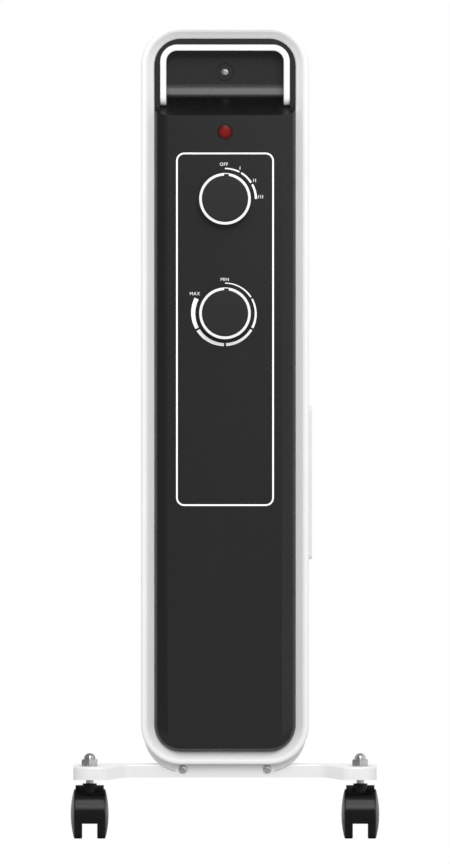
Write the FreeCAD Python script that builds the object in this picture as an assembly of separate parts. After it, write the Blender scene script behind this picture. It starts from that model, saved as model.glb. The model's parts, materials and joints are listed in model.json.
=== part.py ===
import FreeCAD, Part
import math
import os

# An oil filled radiator heater on twin-wheel casters.
#
# Millimetres. X runs across the front, to the right of someone who faces the control panel. Y runs from
# the control panel (negative) back to the last fin (positive). Z is up. The origin is on the floor, in the
# middle of the heater's length and width.

Vector = FreeCAD.Vector
ALONG_X = Vector(1, 0, 0)
ALONG_Y = Vector(0, 1, 0)
ALONG_Z = Vector(0, 0, 1)

# ------------------------------------------------------------------ driving dimensions
# casters: everything above stands on them
WHEEL_R = 19.5
WHEEL_TREAD = 6.4
WHEEL_BULGE = 2.6           # of the outer face beyond the tread
WHEEL_FLAT_R = 14.5         # flat middle of that face
WHEEL_GAP = 0.6             # between a wheel and the hood's web
AXLE_R = 2.5
AXLE_FIT = 0.05             # radial running clearance
AXLE_ENGAGE = 5.1           # of the axle in a wheel's blind bore
AXLE_END_GAP = 0.2
TRAIL = 10.0                # axle behind the swivel axis
HOOD_GAP = 1.4              # between the treads and the hood
HOOD_T = 1.8
HOOD_W = 22.3
HOOD_WEB = 10.6
HOOD_FRONT_DROP = 7.9       # the hood's front edge below the axle
HOOD_REAR_RISE = 4.5        # its rear edge above the axle
HOOD_REAR_RUN = 1.0         # its lower edge turns level this far inside the rear wall
BOSS_R = 5.6
BOSS_RISE = 1.3             # above the hood
STEM_R = 3.0
STEM_FIT = 0.08
STEM_IN_HOOD = 16.0
STEM_COLLAR_R = 6.0
STEM_COLLAR_H = 2.0
STEM_ENGAGE = 6.5           # how far the stem reaches above the nut's seat
SWIVEL_GAP = 2.5            # between the boss and the bracket's tab
TRACK = 213.0               # between the left and the right swivel axes

# base brackets, pressed from sheet
BRACKET_T = 1.5
BRACKET_H = 10.5
BRACKET_DEPTH = 24.0
BRACKET_SKIRT = 1.9         # the flanges reach this far below the web under the body
SEAT_GAP = 0.3              # between a bracket and what rests in it
LOBE_R = 13.0               # rounded end of a tab, about the swivel axis
TAB_DROP = 2.1              # the tabs lie this much lower than the arms
TAB_REACH = 14.0            # and this much further out
TAB_REAR_R = 8.0
TAB_BEND_R = 12.0
TAB_LEAD = 11.5             # from the swivel axis to the start of the tab
REAR_EDGE_RISE = 0.7        # straight rear edge above the arms' front edge
NUT_SEAT_R = 8.0            # flat pressed into the tab for the nut
NUT_SEAT_RISE = 0.2         # above the tab's front edge
ARM_BEND_RUN = 18.0         # along X, of the bend between arm and tab
TONGUE_HALF_W = 39.0
TONGUE_GAP = 0.3            # below the front frame
BRACKET_SCREW_X = 33.2
BRACKET_SCREW_RISE = 2.8    # above the body's bottom
BRACKET_SCREW_HEAD_R = 3.3
BRACKET_SCREW_HEAD_H = 1.8
BRACKET_SCREW_R = 1.45
BRACKET_SCREW_L = 9.0
NUT_AF = 12.2
NUT_HEX_H = 6.1
NUT_DOME_R = 4.6
NUT_DOME_STEPS = 3
NUT_TURN = 8.0              # degrees about its axis
NUT_BORE_SPARE = 1.3        # blind bore beyond the stem's end

# white front frame
FRAME_W = 132.2             # overall width
FRAME_TOP = 640.0           # height of its top above the floor
FRAME_CORNER_R = 31.5
FRAME_BORDER = 10.5         # from the outer edge to the control cover's opening
FRAME_DEPTH = 9.0
BEAD_W = 4.7                # raised bead round the outer edge
BEAD_EDGE = 1.3             # bevel on both edges of the bead
BEAD_STEP = 0.8             # the sloping border starts this far behind the bead
BORDER_FALL = 5.6           # and falls back this much on its way to the opening

# housing box and the fins behind it share one outline
BODY_SIDE_INSET = 2.2       # inside the frame's outline at the sides
BODY_TOP_INSET = 2.3
BODY_LIP = 6.3              # shows below the frame
HOUSING_DEPTH = 72.0
HOUSING_T = 1.2
BACK_PLATE_T = 1.0

# black control cover
COVER_GAP = 0.2             # between the cover and the frame's opening
COVER_RIM_W = 2.4           # steep rim that rises from the frame's border
COVER_T = 2.5
COVER_SEAT = 1.0            # width of the ledge that the cover's rim rests on
FACE_SIDE_RUN = 8.2         # gentle slope between the rim's crest and the main face
FACE_FOOT_RUN = 1.6
FACE_FROM_TOP = 70.8        # the main face's top edge below the frame's top
FACE_CORNER_R = 12.0
FACE_PROUD = 2.0            # main face in front of the frame
RIM_DROP = 8.0              # foot of the steep rim behind the main face
CREST_DROP = 4.0            # its crest behind the main face
HEAD_PROUD = 0.8            # wider rim round the hand pocket, in front of the steep rim's foot
HEAD_RIM_W = 4.2
HEAD_FOOT = 5.6             # its lower ends above the main face

# hand pocket and the white strip that lines it
POCKET_CORNER_R = 13.5
POCKET_T = 1.6
RAMP_SLOPE = 30.0           # degrees above level, from the main face's top edge back
CREASE_RISE = 14.3          # the ramp ends this much above that edge
WALL_BEND_R = 8.4           # from the crease up into the back wall
CUT_LEAD = 20.0             # the ramp's cut starts this far in front of the face
STRIP_GAP = 0.15
STRIP_T = 5.0
STRIP_FOOT = 7.8            # above the main face's top edge
STRIP_BEND = 7.0            # height over which the legs' ends round off backwards
STRIP_PROUD = 0.6           # in front of the head's rim

# screw in the pocket and the strap that it holds
POCKET_SCREW_FROM_TOP = 37.0
DIMPLE_R = 6.7
DIMPLE_DEPTH = 1.0
SCREW_HEAD_R = 3.2
SCREW_HEAD_H = 2.2
SCREW_SHANK_R = 1.9
SCREW_SHANK_L = 12.0
STRAP_H = 18.0
STRAP_T = 1.5
STRAP_TAB = 14.0

# lamp
LAMP_BELOW_FACE_TOP = 13.0
LENS_R = 5.9
LENS_H = 1.6
LENS_BOSS_R = 3.5
LENS_NECK_R = 5.2
LAMP_BODY_L = 20.0
LAMP_BLADE_X = 2.5

# knobs, switch and thermostat
POWER_BELOW_FACE_TOP = 65.7
KNOB_PITCH = 90.1           # between the two knobs
KNOB_R = 20.4
KNOB_H = 13.0
KNOB_GAP = 0.6              # between the knob and the panel
KNOB_RING_W = 2.2
KNOB_RING_H = 1.2
POINTER_W = 3.7
POINTER_DEPTH = 1.45
POINTER_ANGLE = 3.5         # of the pointer notch at rest, clockwise from the top
SHAFT_R = 3.0
SHAFT_FLAT = 0.8            # taken off the shaft's side
SHAFT_FIT = 0.05            # radial running clearance
SHAFT_IN_KNOB = 8.0
SHAFT_IN_BODY = 6.0
SHAFT_END_GAP = 1.0
BUSHING_R = 5.0
BUSHING_NUT_AF = 14.0
BUSHING_NUT_H = 2.4
NUT_RECESS_GAP = 1.4        # round and above the bushing's nut, inside the knob
SWITCH_SIDE = 34.0
SWITCH_DEPTH = 22.0
SWITCH_BLADE_X = 9.0
SWITCH_BLADE_PITCH = 11.0
THERMOSTAT_W = 42.0
THERMOSTAT_H = 28.0
THERMOSTAT_DEPTH = 15.6
CONTACT_BLOCK = (25.2, 10.4, 19.6)
THERMOSTAT_BLADE_X = 16.0

# pieces inside the housing; heights are above the body's bottom
TIP_SWITCH_SIZE = (26.0, 18.0, 34.0)
TIP_SWITCH_BLADE_X = 7.0
TERMINAL_BLOCK_SIZE = (16.0, 20.0, 46.0)
TERMINAL_BLOCK_RISE = 138.0
CHAMBER_COUNT = 3
CHAMBER_WALL = 4.0
CHAMBER_DEPTH = 8.8
CUTOUT_R = 8.5
CUTOUT_H = 7.0
CUTOUT_X = 34.0
CUTOUT_RISE = 113.0
CUTOUT_BLADE_X = 4.5
GLAND_R = 6.5
GLAND_FLANGE_R = 9.0
GLAND_FLANGE_H = 2.0
GLAND_INSIDE = 8.0          # above the housing's floor
CORD_HOLE_R = 3.6
GLAND_X = 30.0
GLAND_FROM_BACK = 18.0
VENT_W = 3.0
VENT_L = 34.0
VENT_PITCH = 9.0
VENT_COUNT = 5
VENT_RISE = 68.0

# plate clipped to the housing's right side
SIDE_PLATE_RISE = 168.2
SIDE_PLATE_H = 120.8
SIDE_PLATE_T = 4.6
SIDE_PLATE_DEPTH = 52.0
SIDE_PLATE_CORNER_R = 4.0

# oil fins
FIN_COUNT = 5
FIN_PITCH = 38.0
SHEET_T = 1.0               # one pressed half
FIN_HALF = 7.0              # half the thickness over the oil channels
PAN_MARGIN = 11.0           # flat seam round the pressed area
PAN_CORNER_R = 22.0
PAN_SLOPE = 4.0             # run of its sloping side
OIL_CORNER_CUT = 13.6
WEB_W = 26.0                # flat web between the two upright channels
WEB_FROM_HUB = 46.0         # its ends from the hub centres
HUB_R = 22.0
HUB_WALL = 1.5
HUB_MARGIN = 54.0           # hub centres from the fin's ends
END_HUB_H = 3.0             # closed hub of the last fin
STUD_R = 4.0
STUD_L = 13.0
TOP_NUT_AF = 13.0
TOP_NUT_H = 6.5

# heating element in the lower hubs
PLUG_HEAD_H = 8.0
PLUG_SPIGOT_L = 14.0
PLUG_FIT = 0.2
TUBE_R = 4.0
TUBE_BEND_R = 9.0
TUBE_OFFSET = 6.5           # of the two tubes above and below the hub's axis
TUBE_FINS = (4, 3)          # how many fins each tube reaches into
FILLER_AF = 14.0
FILLER_H = 5.0

# shared
BLADE_W = 6.2               # blade terminals of the electrical pieces
BLADE_T = 0.8
BLADE_L = 8.0
THREAD_GAP = 0.05           # between a nut's bore and its thread
HOLE_GAP = 0.2              # round a screw, stud or rod in its hole
PAN_HEAD_FLAT = 0.7         # flat top of a pan head, as a share of its radius
PAN_HEAD_EDGE = 0.4         # height of its upright edge, as a share of the head's height
BEND_STEPS = 3              # mitred lengths in each quarter bend of a rod

# ------------------------------------------------------------------ derived heights
HOOD_R = WHEEL_R + HOOD_GAP + HOOD_T
BOSS_TOP = WHEEL_R + HOOD_R + BOSS_RISE
STEM_BOTTOM = BOSS_TOP - STEM_IN_HOOD
TAB_BOTTOM = BOSS_TOP + SWIVEL_GAP              # lower edges of the tabs' flanges
BRACKET_BOTTOM = TAB_BOTTOM + TAB_DROP
BRACKET_TOP = BRACKET_BOTTOM + BRACKET_H
TAB_TOP = BRACKET_TOP - TAB_DROP
NUT_SEAT_Z = TAB_TOP + NUT_SEAT_RISE
STEM_TOP = NUT_SEAT_Z + STEM_ENGAGE
WEB_UNDERSIDE = BRACKET_BOTTOM + BRACKET_SKIRT

BODY_BOTTOM = WEB_UNDERSIDE + BRACKET_T + SEAT_GAP
BODY_TOP = FRAME_TOP - BODY_TOP_INSET
FRAME_BOTTOM = BODY_BOTTOM + BODY_LIP
TONGUE_TOP = FRAME_BOTTOM - TONGUE_GAP
BRACKET_SCREW_Z = BODY_BOTTOM + BRACKET_SCREW_RISE
COVER_TOP = FRAME_TOP - FRAME_BORDER - COVER_GAP
COVER_BOTTOM = FRAME_BOTTOM + FRAME_BORDER + COVER_GAP
FACE_TOP = FRAME_TOP - FACE_FROM_TOP
FACE_BOTTOM = COVER_BOTTOM + COVER_RIM_W + FACE_FOOT_RUN
HEAD_BOTTOM = FACE_TOP + HEAD_FOOT
POCKET_TOP = COVER_TOP - HEAD_RIM_W
POCKET_SCREW_Z = FRAME_TOP - POCKET_SCREW_FROM_TOP
LAMP_Z = FACE_TOP - LAMP_BELOW_FACE_TOP
POWER_Z = FACE_TOP - POWER_BELOW_FACE_TOP
THERMOSTAT_Z = POWER_Z - KNOB_PITCH
LOWER_HUB_Z = BODY_BOTTOM + HUB_MARGIN
UPPER_HUB_Z = BODY_TOP - HUB_MARGIN

# ------------------------------------------------------------------ derived widths and radii
BODY_W = FRAME_W - 2 * BODY_SIDE_INSET
BODY_CORNER_R = FRAME_CORNER_R
OPENING_R = FRAME_CORNER_R - FRAME_BORDER
COVER_W = FRAME_W - 2 * (FRAME_BORDER + COVER_GAP)
COVER_R = OPENING_R - COVER_GAP
FACE_W = COVER_W - 2 * (COVER_RIM_W + FACE_SIDE_RUN)
POCKET_W = COVER_W - 2 * HEAD_RIM_W
STEM_X = TRACK / 2
BRACKET_HALF_W = STEM_X + LOBE_R
TAB_START = STEM_X - TAB_LEAD
ARM_END = TAB_START - ARM_BEND_RUN
HUB_BORE_R = HUB_R - HUB_WALL
WHEEL_INNER = HOOD_WEB / 2 + WHEEL_GAP          # inner face from the caster's middle
AXLE_END = WHEEL_INNER + AXLE_ENGAGE

# ------------------------------------------------------------------ derived depths
REAR_STEM_FROM_FIN = SHEET_T + BRACKET_T + TAB_REACH - LOBE_R
FRONT_TO_FLANGE = KNOB_H + KNOB_GAP + FACE_PROUD + FRAME_DEPTH - BRACKET_T
FLANGE_TO_LAST_FIN = BRACKET_T + HOUSING_DEPTH + FIN_PITCH * (FIN_COUNT - 0.5)
HOOD_BACK = math.sqrt(HOOD_R ** 2 - HOOD_REAR_RISE ** 2)
LENGTH = FRONT_TO_FLANGE + FLANGE_TO_LAST_FIN + REAR_STEM_FROM_FIN + TRAIL + HOOD_BACK

FLANGE_Y = -LENGTH / 2 + FRONT_TO_FLANGE        # front face of the front bracket
LIP_Y = FLANGE_Y + BRACKET_T                    # front face of the housing
FRAME_Y = LIP_Y - FRAME_DEPTH
FACE_Y = FRAME_Y - FACE_PROUD
RIM_Y = FACE_Y + RIM_DROP
CREST_Y = FACE_Y + CREST_DROP
KNOB_BACK_Y = FACE_Y - KNOB_GAP
KNOB_FRONT_Y = KNOB_BACK_Y - KNOB_H
HEAD_Y = RIM_Y - HEAD_PROUD
STRIP_Y = HEAD_Y - STRIP_PROUD
CREASE_Y = FACE_Y + CREASE_RISE / math.tan(math.radians(RAMP_SLOPE))
POCKET_BACK_Y = CREASE_Y + WALL_BEND_R
HOUSING_BACK_Y = LIP_Y + HOUSING_DEPTH
HOUSING_MIDDLE_Y = LIP_Y + HOUSING_DEPTH / 2
PLATE_Y = HOUSING_BACK_Y - BACK_PLATE_T
FIN_Y = [HOUSING_BACK_Y + FIN_PITCH * (i + 0.5) for i in range(FIN_COUNT)]
REAR_FLANGE_Y = FIN_Y[-1] + SHEET_T + BRACKET_T  # rear face of the rear bracket

CASTER_STEMS = {}                               # swivel axis of each caster
for row, stem_y in (("front", FLANGE_Y - TAB_REACH + LOBE_R),
                    ("rear", REAR_FLANGE_Y + TAB_REACH - LOBE_R)):
    CASTER_STEMS[f"{row}_left"] = (-STEM_X, stem_y)
    CASTER_STEMS[f"{row}_right"] = (STEM_X, stem_y)


# ------------------------------------------------------------------ helpers
def corner_arc(before, corner, after, radius):
    """Start, middle and end of the arc that rounds a corner."""
    to_before = (before - corner).normalize()
    to_after = (after - corner).normalize()
    half_angle = to_before.getAngle(to_after) / 2
    run = radius / math.tan(half_angle)
    bisector = (to_before + to_after).normalize()
    centre = corner + bisector * (radius / math.sin(half_angle))
    return corner + to_before * run, centre - bisector * radius, corner + to_after * run


def rounded_wire(corners):
    """A closed wire through (point, radius) corners, each rounded by its radius; 0 leaves it sharp."""
    stretches = []
    for i, (corner, radius) in enumerate(corners):
        before, after = corners[i - 1][0], corners[(i + 1) % len(corners)][0]
        stretches.append(corner_arc(before, corner, after, radius) if radius else (corner,))
    edges = []
    for here, ahead in zip(stretches, stretches[1:] + stretches[:1]):
        if len(here) == 3:
            edges.append(Part.Arc(*here).toShape())
        if here[-1].distanceToPoint(ahead[0]) > 1e-6:
            edges.append(Part.makeLine(here[-1], ahead[0]))
    return Part.Wire(edges)


def front_wire(width, bottom, top, radius, y, foot_radius=None):
    """An upright rectangle with round corners, facing the front, at depth y."""
    foot = radius if foot_radius is None else foot_radius
    half = width / 2
    return rounded_wire([(Vector(-half, y, bottom), foot), (Vector(half, y, bottom), foot),
                         (Vector(half, y, top), radius), (Vector(-half, y, top), radius)])


def slab(width, bottom, top, radius, y_front, y_back, foot_radius=None):
    wire = front_wire(width, bottom, top, radius, y_front, foot_radius)
    return Part.Face(wire).extrude(Vector(0, y_back - y_front, 0))


def tapered(front, back):
    """A solid between two upright outlines with the same number of corners."""
    return Part.makeLoft([front, back], True, True)


def box(x_low, x_high, y_low, y_high, z_low, z_high):
    return Part.makeBox(x_high - x_low, y_high - y_low, z_high - z_low, Vector(x_low, y_low, z_low))


def rod(start, direction, length, radius):
    return Part.makeCylinder(radius, length, start, direction)


def hexagon(centre, direction, across_flats, length, turn=0.0):
    """A hexagonal prism that starts at centre and runs along direction."""
    radius = across_flats / math.sqrt(3)
    across = ALONG_X if abs(direction.x) < 0.5 else ALONG_Z
    up = direction.cross(across)
    points = []
    for i in range(7):
        angle = math.radians(60 * i + turn)
        points.append(centre + across * (radius * math.cos(angle)) + up * (radius * math.sin(angle)))
    return Part.Face(Part.makePolygon(points)).extrude(direction * length)


def turned(profile, centre, direction):
    """Turns a closed (radius, distance) profile about an axis."""
    across = ALONG_X if abs(direction.x) < 0.5 else ALONG_Z
    points = [centre + across * r + direction * d for r, d in profile]
    face = Part.Face(Part.makePolygon(points + points[:1]))
    return face.revolve(centre, direction, 360)


def bent_rod(points, bend_radius, radius):
    """A round rod through a few points; each bend is a few short mitred lengths."""
    path = [points[0]]
    for before, corner, after in zip(points, points[1:], points[2:]):
        bend = Part.Arc(*corner_arc(before, corner, after, bend_radius)).toShape()
        for point in bend.discretize(BEND_STEPS + 1):
            if path[-1].distanceToPoint(point) > 1e-6:
                path.append(point)
    path.append(points[-1])
    section = Part.Wire(Part.makeCircle(radius, points[0], points[1] - points[0]))
    return Part.makePolygon(path).makePipeShell([section], True, False, 1)


def blade(root, direction, thin):
    """A flat blade terminal that stands on root; thin is the direction of its thickness."""
    wide = direction.cross(thin)
    low = root - wide * (BLADE_W / 2) - thin * (BLADE_T / 2)
    points = [low, low + wide * BLADE_W, low + wide * BLADE_W + thin * BLADE_T, low + thin * BLADE_T, low]
    return Part.Face(Part.makePolygon(points)).extrude(direction * BLADE_L)


def save(node, *solids):
    """Writes one node: every piece has to be exactly one valid solid."""
    pieces = []
    for shape in solids:
        if len(shape.Solids) != 1 or not shape.Solids[0].isValid():
            raise ValueError(f"{node} isn't one valid solid")
        pieces.append(shape.Solids[0])
    shape = pieces[0] if len(pieces) == 1 else Part.makeCompound(pieces)
    shape.exportStep(f"parts/{node}.step")


# ------------------------------------------------------------------ housing
def housing_window():
    inset = 2 * COVER_SEAT
    return slab(COVER_W - inset, COVER_BOTTOM + COVER_SEAT, COVER_TOP - COVER_SEAT, COVER_R - COVER_SEAT,
                LIP_Y - 1, LIP_Y + HOUSING_T + 1)


def vents(through_x):
    """A row of upright slots through one side wall."""
    bottom = BODY_BOTTOM + VENT_RISE
    slots = []
    for i in range(VENT_COUNT):
        y = HOUSING_MIDDLE_Y + (i - (VENT_COUNT - 1) / 2) * VENT_PITCH
        slots.append(box(through_x - HOUSING_T, through_x + HOUSING_T, y - VENT_W / 2, y + VENT_W / 2,
                         bottom, bottom + VENT_L))
    return slots


def housing():
    """The deep box behind the frame, open at the back, with a window for the control cover."""
    outside = slab(BODY_W, BODY_BOTTOM, BODY_TOP, BODY_CORNER_R, LIP_Y, HOUSING_BACK_Y)
    inside = slab(BODY_W - 2 * HOUSING_T, BODY_BOTTOM + HOUSING_T, BODY_TOP - HOUSING_T,
                  BODY_CORNER_R - HOUSING_T, LIP_Y + HOUSING_T, HOUSING_BACK_Y + 1)
    holes = [inside, housing_window(), pocket_space(POCKET_T + COVER_GAP)]
    for side in (-1, 1):
        holes += vents(side * (BODY_W - HOUSING_T) / 2)
        holes.append(rod(Vector(side * BRACKET_SCREW_X, LIP_Y - 1, BRACKET_SCREW_Z), ALONG_Y,
                         HOUSING_T + 2, BRACKET_SCREW_R))
    holes.append(rod(Vector(GLAND_X, HOUSING_BACK_Y - GLAND_FROM_BACK, BODY_BOTTOM - 1), ALONG_Z,
                     HOUSING_T + 2, GLAND_R))
    return outside.cut(holes)


def back_plate():
    """Closes the housing; the first fin's hubs bear on it."""
    inset = HOUSING_T + COVER_GAP
    plate = slab(BODY_W - 2 * inset, BODY_BOTTOM + inset, BODY_TOP - inset, BODY_CORNER_R - inset,
                 PLATE_Y, HOUSING_BACK_Y)
    through = BACK_PLATE_T + 2
    return plate.cut([rod(Vector(0, PLATE_Y - 1, LOWER_HUB_Z), ALONG_Y, through, HUB_BORE_R),
                      rod(Vector(0, PLATE_Y - 1, UPPER_HUB_Z), ALONG_Y, through, STUD_R + HOLE_GAP)])


def front_frame():
    """White ring with a raised bead outside and a border that slopes back to the cover."""
    ring = slab(FRAME_W, FRAME_BOTTOM, FRAME_TOP, FRAME_CORNER_R, FRAME_Y, LIP_Y)
    bevelled = [e for e in ring.Edges if abs(e.CenterOfMass.y - FRAME_Y) < 1e-6]
    ring = ring.makeChamfer(BEAD_EDGE, bevelled)

    def inside(border, y):
        return front_wire(FRAME_W - 2 * border, FRAME_BOTTOM + border, FRAME_TOP - border,
                          FRAME_CORNER_R - border, y)

    slope_y = FRAME_Y + BEAD_STEP
    opening = Part.Face(inside(FRAME_BORDER, FRAME_Y - 1)).extrude(Vector(0, FRAME_DEPTH + 2, 0))
    slope = tapered(inside(BEAD_W, slope_y), inside(FRAME_BORDER, slope_y + BORDER_FALL))
    step = tapered(inside(BEAD_W - BEAD_EDGE, FRAME_Y), inside(BEAD_W, slope_y))
    return ring.cut([opening, slope, step])


# ------------------------------------------------------------------ control cover and hand pocket
def pocket_space(grow):
    """The hollow of the hand pocket, grown all round by a wall or a clearance.

    Its floor is a ramp that rises to a crease; from there a bend leads up into the back wall.
    """
    slope = math.radians(RAMP_SLOPE)
    up_ramp = Vector(0, math.cos(slope), math.sin(slope))
    off_ramp = Vector(0, -math.sin(slope), math.cos(slope))
    start = Vector(0, FACE_Y, FACE_TOP) - up_ramp * CUT_LEAD - off_ramp * grow
    back, top = POCKET_BACK_Y + grow, POCKET_TOP + grow
    bend_centre = Vector(0, CREASE_Y, FACE_TOP + CREASE_RISE + WALL_BEND_R)
    bend_r = WALL_BEND_R + grow
    below_centre = WALL_BEND_R * math.cos(slope) + grow     # of the ramp, measured square to it
    crease = (bend_centre - off_ramp * below_centre
              - up_ramp * math.sqrt(bend_r ** 2 - below_centre ** 2))
    bend_middle = bend_centre + Vector(0, bend_r, -bend_r) * math.sqrt(0.5)
    wall_foot, wall_top = Vector(0, back, bend_centre.z), Vector(0, back, top)
    above_start = Vector(0, start.y, top)
    profile = Part.Wire([Part.makeLine(start, crease), Part.Arc(crease, bend_middle, wall_foot).toShape(),
                         Part.makeLine(wall_foot, wall_top), Part.makeLine(wall_top, above_start),
                         Part.makeLine(above_start, start)])
    half = POCKET_W / 2 + grow
    sides = Part.Face(profile).extrude(Vector(2 * half, 0, 0))
    sides.translate(Vector(-half, 0, 0))
    outline = slab(2 * half, start.z - 1, top, POCKET_CORNER_R + grow, start.y, back + 1, 0)
    return sides.common(outline)


def control_cover():
    """Black moulding: steep rim, raised main face cut off by the ramp, and the hand pocket at its head."""
    base = slab(COVER_W, COVER_BOTTOM, COVER_TOP, COVER_R, RIM_Y, LIP_Y)
    above = FACE_TOP + CREASE_RISE + COVER_R

    def inside(inset, y):
        return front_wire(COVER_W - 2 * inset, COVER_BOTTOM + inset, above, COVER_R - inset, y)

    wall = COVER_RIM_W
    rim = tapered(inside(0, RIM_Y), inside(wall, CREST_Y))
    raised = tapered(inside(wall, CREST_Y), front_wire(FACE_W, FACE_BOTTOM, above, FACE_CORNER_R, FACE_Y))
    ramp = math.tan(math.radians(RAMP_SLOPE))
    over_ramp = [Vector(-COVER_W, FACE_Y - 1, FACE_TOP - ramp),
                 Vector(-COVER_W, RIM_Y, FACE_TOP + RIM_DROP * ramp),
                 Vector(-COVER_W, RIM_Y, above + 1), Vector(-COVER_W, FACE_Y - 1, above + 1)]
    over_ramp = Part.Face(Part.makePolygon(over_ramp + over_ramp[:1])).extrude(Vector(2 * COVER_W, 0, 0))
    raised = raised.fuse(rim).cut(over_ramp)
    head = slab(COVER_W, COVER_BOTTOM, COVER_TOP, COVER_R, HEAD_Y, LIP_Y).common(
        box(-COVER_W, COVER_W, HEAD_Y - 1, LIP_Y + 1, HEAD_BOTTOM, COVER_TOP + 1))
    pocket_shell = pocket_space(POCKET_T)
    pocket_shell = pocket_shell.common(box(-COVER_W, COVER_W, RIM_Y, HOUSING_BACK_Y,
                                           FACE_BOTTOM, COVER_TOP))
    solid = base.fuse([raised, head, pocket_shell]).removeSplitter()

    hollow_base = slab(COVER_W - 2 * wall, COVER_BOTTOM + wall, above, COVER_R - wall,
                       RIM_Y + COVER_T, LIP_Y + 1)
    hollow_rim = tapered(inside(wall, RIM_Y + COVER_T), inside(wall + COVER_T, CREST_Y + COVER_T))
    hollow_face = tapered(inside(wall + COVER_T, CREST_Y + COVER_T),
                          front_wire(FACE_W - COVER_T, FACE_BOTTOM + COVER_T, above,
                                     FACE_CORNER_R - COVER_T, FACE_Y + COVER_T))
    below_pocket = box(-COVER_W, COVER_W, FACE_Y, LIP_Y + 2, BODY_BOTTOM, HEAD_BOTTOM - COVER_T)
    hollow = hollow_base.fuse([hollow_rim, hollow_face]).common(below_pocket).cut(pocket_shell)
    bushings = [rod(Vector(0, FACE_Y - 1, z), ALONG_Y, COVER_T + 2, BUSHING_R + HOLE_GAP)
                for z in (POWER_Z, THERMOSTAT_Z)]
    lamp_hole = rod(Vector(0, FACE_Y - 1, LAMP_Z), ALONG_Y, COVER_T + 2, LENS_NECK_R + HOLE_GAP)
    dimple = rod(Vector(0, POCKET_BACK_Y - 1, POCKET_SCREW_Z), ALONG_Y, DIMPLE_DEPTH + 1, DIMPLE_R)
    screw_hole = rod(Vector(0, POCKET_BACK_Y, POCKET_SCREW_Z), ALONG_Y, POCKET_T + 1,
                     SCREW_SHANK_R + HOLE_GAP)
    return solid.cut([hollow, pocket_space(0), lamp_hole, dimple, screw_hole] + bushings)


def handle_strip():
    """White strip bent round the top and sides of the hand pocket; its legs' ends round off backwards."""
    width = POCKET_W - 2 * STRIP_GAP
    top = POCKET_TOP - STRIP_GAP
    corner = POCKET_CORNER_R - STRIP_GAP
    back = POCKET_BACK_Y - STRIP_GAP
    foot = FACE_TOP + STRIP_FOOT
    outside = slab(width, foot - 1, top, corner, STRIP_Y, back, 0)
    inside = slab(width - 2 * STRIP_T, foot - 2, top - STRIP_T, corner - STRIP_T, STRIP_Y - 1, back + 1, 0)
    landing_y = FACE_Y + STRIP_FOOT / math.tan(math.radians(RAMP_SLOPE))
    middle = math.sqrt(0.5)
    bend_start, bend_end = Vector(0, STRIP_Y, foot + STRIP_BEND), Vector(0, landing_y, foot)
    bend_middle = Vector(0, STRIP_Y + (landing_y - STRIP_Y) * (1 - middle), foot + STRIP_BEND * (1 - middle))
    below = Part.Face(Part.Wire([
        Part.Arc(bend_start, bend_middle, bend_end).toShape(),
        Part.makeLine(bend_end, Vector(0, landing_y, foot - 2)),
        Part.makeLine(Vector(0, landing_y, foot - 2), Vector(0, STRIP_Y - 1, foot - 2)),
        Part.makeLine(Vector(0, STRIP_Y - 1, foot - 2), Vector(0, STRIP_Y - 1, bend_start.z)),
        Part.makeLine(Vector(0, STRIP_Y - 1, bend_start.z), bend_start)])).extrude(Vector(width + 2, 0, 0))
    below.translate(Vector(-width / 2 - 1, 0, 0))
    above_ramp = pocket_space(0).common(pocket_space(-STRIP_GAP))
    return outside.cut([inside, below]).common(above_ramp)


def pocket_strap():
    """Sheet strap across the housing behind the pocket; the pocket's screw is driven into it."""
    half = BODY_W / 2 - HOUSING_T - COVER_GAP
    y = POCKET_BACK_Y + POCKET_T
    high = BODY_TOP - BODY_CORNER_R
    low = high - STRAP_H
    plate = box(-half, half, y, y + STRAP_TAB, low, high)
    plate = plate.cut(box(-half + STRAP_T, half - STRAP_T, y + STRAP_T, y + STRAP_TAB + 1,
                          low - 1, high + 1))
    return plate.cut(rod(Vector(0, y - 1, POCKET_SCREW_Z), ALONG_Y, STRAP_T + 2, SCREW_SHANK_R))


def pan_screw(seat, direction, head_r, head_h, shank_r, shank_l):
    """Pan head screw: seat is under the head, direction runs along the shank."""
    profile = [(0, -head_h), (head_r * PAN_HEAD_FLAT, -head_h), (head_r, -head_h * PAN_HEAD_EDGE),
               (head_r, 0), (shank_r, 0), (shank_r, shank_l), (0, shank_l)]
    return turned(profile, seat, direction)


def lamp_lens():
    profile = [(0, -LENS_H), (LENS_BOSS_R, -LENS_H), (LENS_R, -LENS_H / 2), (LENS_R, 0),
               (LENS_NECK_R, 0), (LENS_NECK_R, COVER_T), (0, COVER_T)]
    return turned(profile, Vector(0, FACE_Y, LAMP_Z), ALONG_Y)


def lamp_body():
    start = Vector(0, FACE_Y + COVER_T, LAMP_Z)
    lamp = rod(start, ALONG_Y, LAMP_BODY_L, LENS_NECK_R)
    end = start + ALONG_Y * LAMP_BODY_L
    return lamp.fuse([blade(end + ALONG_X * (side * LAMP_BLADE_X), ALONG_Y, ALONG_X)
                      for side in (-1, 1)])


# ------------------------------------------------------------------ knobs, switch and thermostat
def knob(z):
    """Plain round knob; a recess behind it clears the bushing's nut."""
    height = KNOB_H - KNOB_RING_H
    body = rod(Vector(0, KNOB_BACK_Y, z), -ALONG_Y, height, KNOB_R)
    recess = rod(Vector(0, KNOB_BACK_Y + 1, z), -ALONG_Y, 1 + BUSHING_NUT_H + NUT_RECESS_GAP - KNOB_GAP,
                 BUSHING_NUT_AF / math.sqrt(3) + NUT_RECESS_GAP)
    return body.cut([recess, shaft(z, SHAFT_FIT)])


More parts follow.
